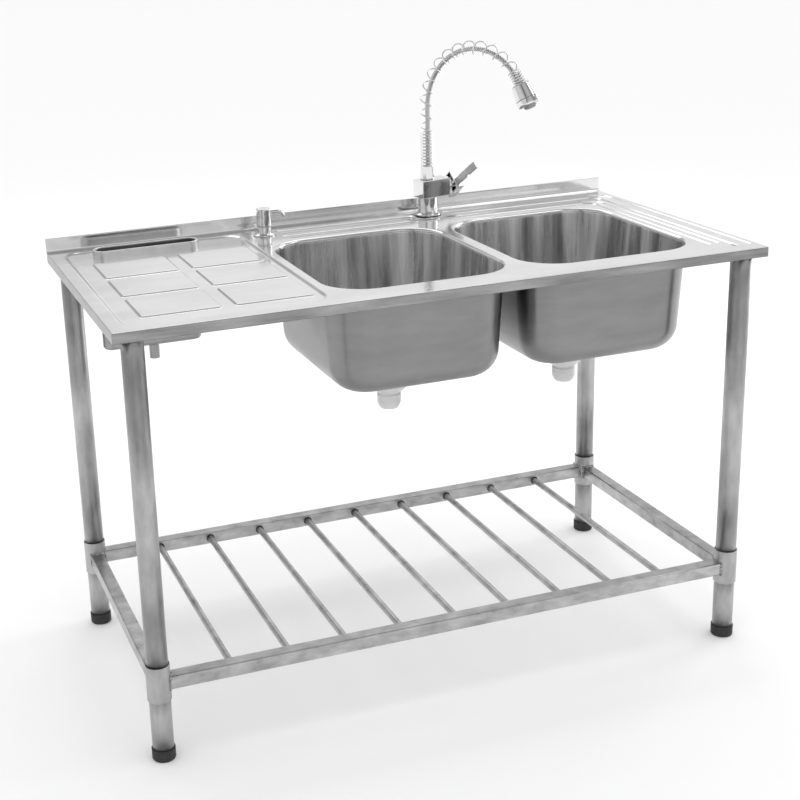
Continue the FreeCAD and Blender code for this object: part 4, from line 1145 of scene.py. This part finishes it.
# How bright the walls are in the metal, going once round the room.
WALL_BANDS = ((0.0, 1.0), (0.10, 1.0), (0.125, 0.25), (0.15, 0.9), (0.23, 1.3), (0.26, 1.3), (0.31, 0.9),
              (0.345, 0.9), (0.37, 0.3), (0.395, 1.0), (0.715, 1.0), (0.745, 0.5), (0.80, 0.5),
              (0.84, 1.0), (1.0, 1.0))


def plain_floor():
    bm = bmesh.new()
    bmesh.ops.create_grid(bm, x_segments=1, y_segments=1, size=60.0)
    mesh = bpy.data.meshes.new("floor")
    bm.to_mesh(mesh)
    bm.free()
    floor = in_scene("floor", mesh)
    material, tree, shader = new_surface("matt_white_floor", Roughness=0.9)
    shader.inputs["Base Color"].default_value = srgb("#F4F4F4")
    shader.inputs["Specular IOR Level"].default_value = 0.1
    mesh.materials.append(material)


def white_room():
    """A room that is white to everything matt, and shows its walls, bands and ceiling only in the metal."""
    world = bpy.data.worlds.new("white_room")
    bpy.context.scene.world = world
    world.use_nodes = True
    tree = world.node_tree
    tree.nodes.clear()
    place = add(tree, "ShaderNodeTexCoord")
    toward = add(tree, "ShaderNodeVectorMath", {0: place.outputs["Generated"], 1: BRIGHT_SIDE},
                 operation="DOT_PRODUCT")
    bright = add(tree, "ShaderNodeMapRange", {"Value": toward.outputs["Value"], "From Min": -0.10,
                                              "From Max": 0.75, "To Min": 0.66, "To Max": 0.86},
                 interpolation_type="SMOOTHSTEP")
    parts = add(tree, "ShaderNodeSeparateXYZ", {"Vector": place.outputs["Generated"]})
    turn = maths(tree, "ARCTAN2", parts.outputs["Y"], parts.outputs["X"])
    share = between(tree, turn, 0.0, 1.0, -math.pi, math.pi)
    bands = add(tree, "ShaderNodeValToRGB", {"Fac": share})
    for position, value in WALL_BANDS:
        stop = bands.color_ramp.elements.new(position)
        stop.color = (value, value, value, 1)
    for spare in (0, -1):
        bands.color_ramp.elements.remove(bands.color_ramp.elements[spare])
    walls = maths(tree, "MULTIPLY", bright.outputs["Result"], bands.outputs["Color"])
    ceiling = add(tree, "ShaderNodeMapRange", {"Value": parts.outputs["Z"], "From Min": 0.34,
                                               "From Max": 0.60, "To Min": 1.0, "To Max": 0.6},
                  interpolation_type="SMOOTHSTEP")
    shown = maths(tree, "MULTIPLY", walls, ceiling.outputs["Result"])
    path = add(tree, "ShaderNodeLightPath")
    mix = add(tree, "ShaderNodeMix", {"Factor": path.outputs["Is Glossy Ray"], "A": MATT_WHITE,
                                      "B": shown}, data_type="FLOAT")
    glow = add(tree, "ShaderNodeBackground", {"Color": (1, 1, 1, 1), "Strength": mix.outputs[0]})
    add(tree, "ShaderNodeOutputWorld", {"Surface": glow.outputs["Background"]})


def soft_light(name, place, aim, size, power):
    """A rectangular soft box that points at a place."""
    light = bpy.data.lights.new(name, "AREA")
    light.shape = "RECTANGLE"
    light.size, light.size_y = size
    light.energy = power
    holder = in_scene(name, light)
    holder.location = place
    holder.rotation_euler = (Vector(aim) - Vector(place)).to_track_quat("-Z", "Y").to_euler()


plain_floor()
white_room()
soft_light("rear_box", (0.3, 2.6, 3.2), (0.1, 0.0, 0.5), (3.2, 1.4), 20)
soft_light("high_box", (1.8, -0.5, 3.2), (0.2, 0.25, 0.85), (1.2, 1.2), 6)
soft_light("right_box", (3.2, 0.8, 1.8), (0.2, 0.0, 0.5), (1.2, 2.0), 20)

# %% [markdown]
# ## Camera
# A long lens from the front left, a little above the worktop, slightly rolled. The lens shift only frames
# the view.

# %% Set the camera
CAMERA_PLACE = Vector((-1.0, -2.427, 1.4116))
CAMERA_TURN = math.radians(17.96)
CAMERA_DOWN = math.radians(17.50)
CAMERA_ROLL = math.radians(-2.53)

camera = bpy.data.cameras.new("camera")
camera.sensor_width = 36.0
camera.lens = 65.06
camera.shift_x = 0.137
camera.shift_y = -0.0574
level_share = math.cos(CAMERA_DOWN)
view = Vector((math.sin(CAMERA_TURN) * level_share, math.cos(CAMERA_TURN) * level_share,
               -math.sin(CAMERA_DOWN)))
level = Vector((math.cos(CAMERA_TURN), -math.sin(CAMERA_TURN), 0))
up = level.cross(view)
right = level * math.cos(CAMERA_ROLL) + up * math.sin(CAMERA_ROLL)
up = up * math.cos(CAMERA_ROLL) - level * math.sin(CAMERA_ROLL)
eye = in_scene("camera", camera)
eye.matrix_world = Matrix.Translation(CAMERA_PLACE) @ Matrix((right, up, -view)).transposed().to_4x4()
bpy.context.scene.camera = eye
bpy.context.scene.view_settings.view_transform = "Standard"
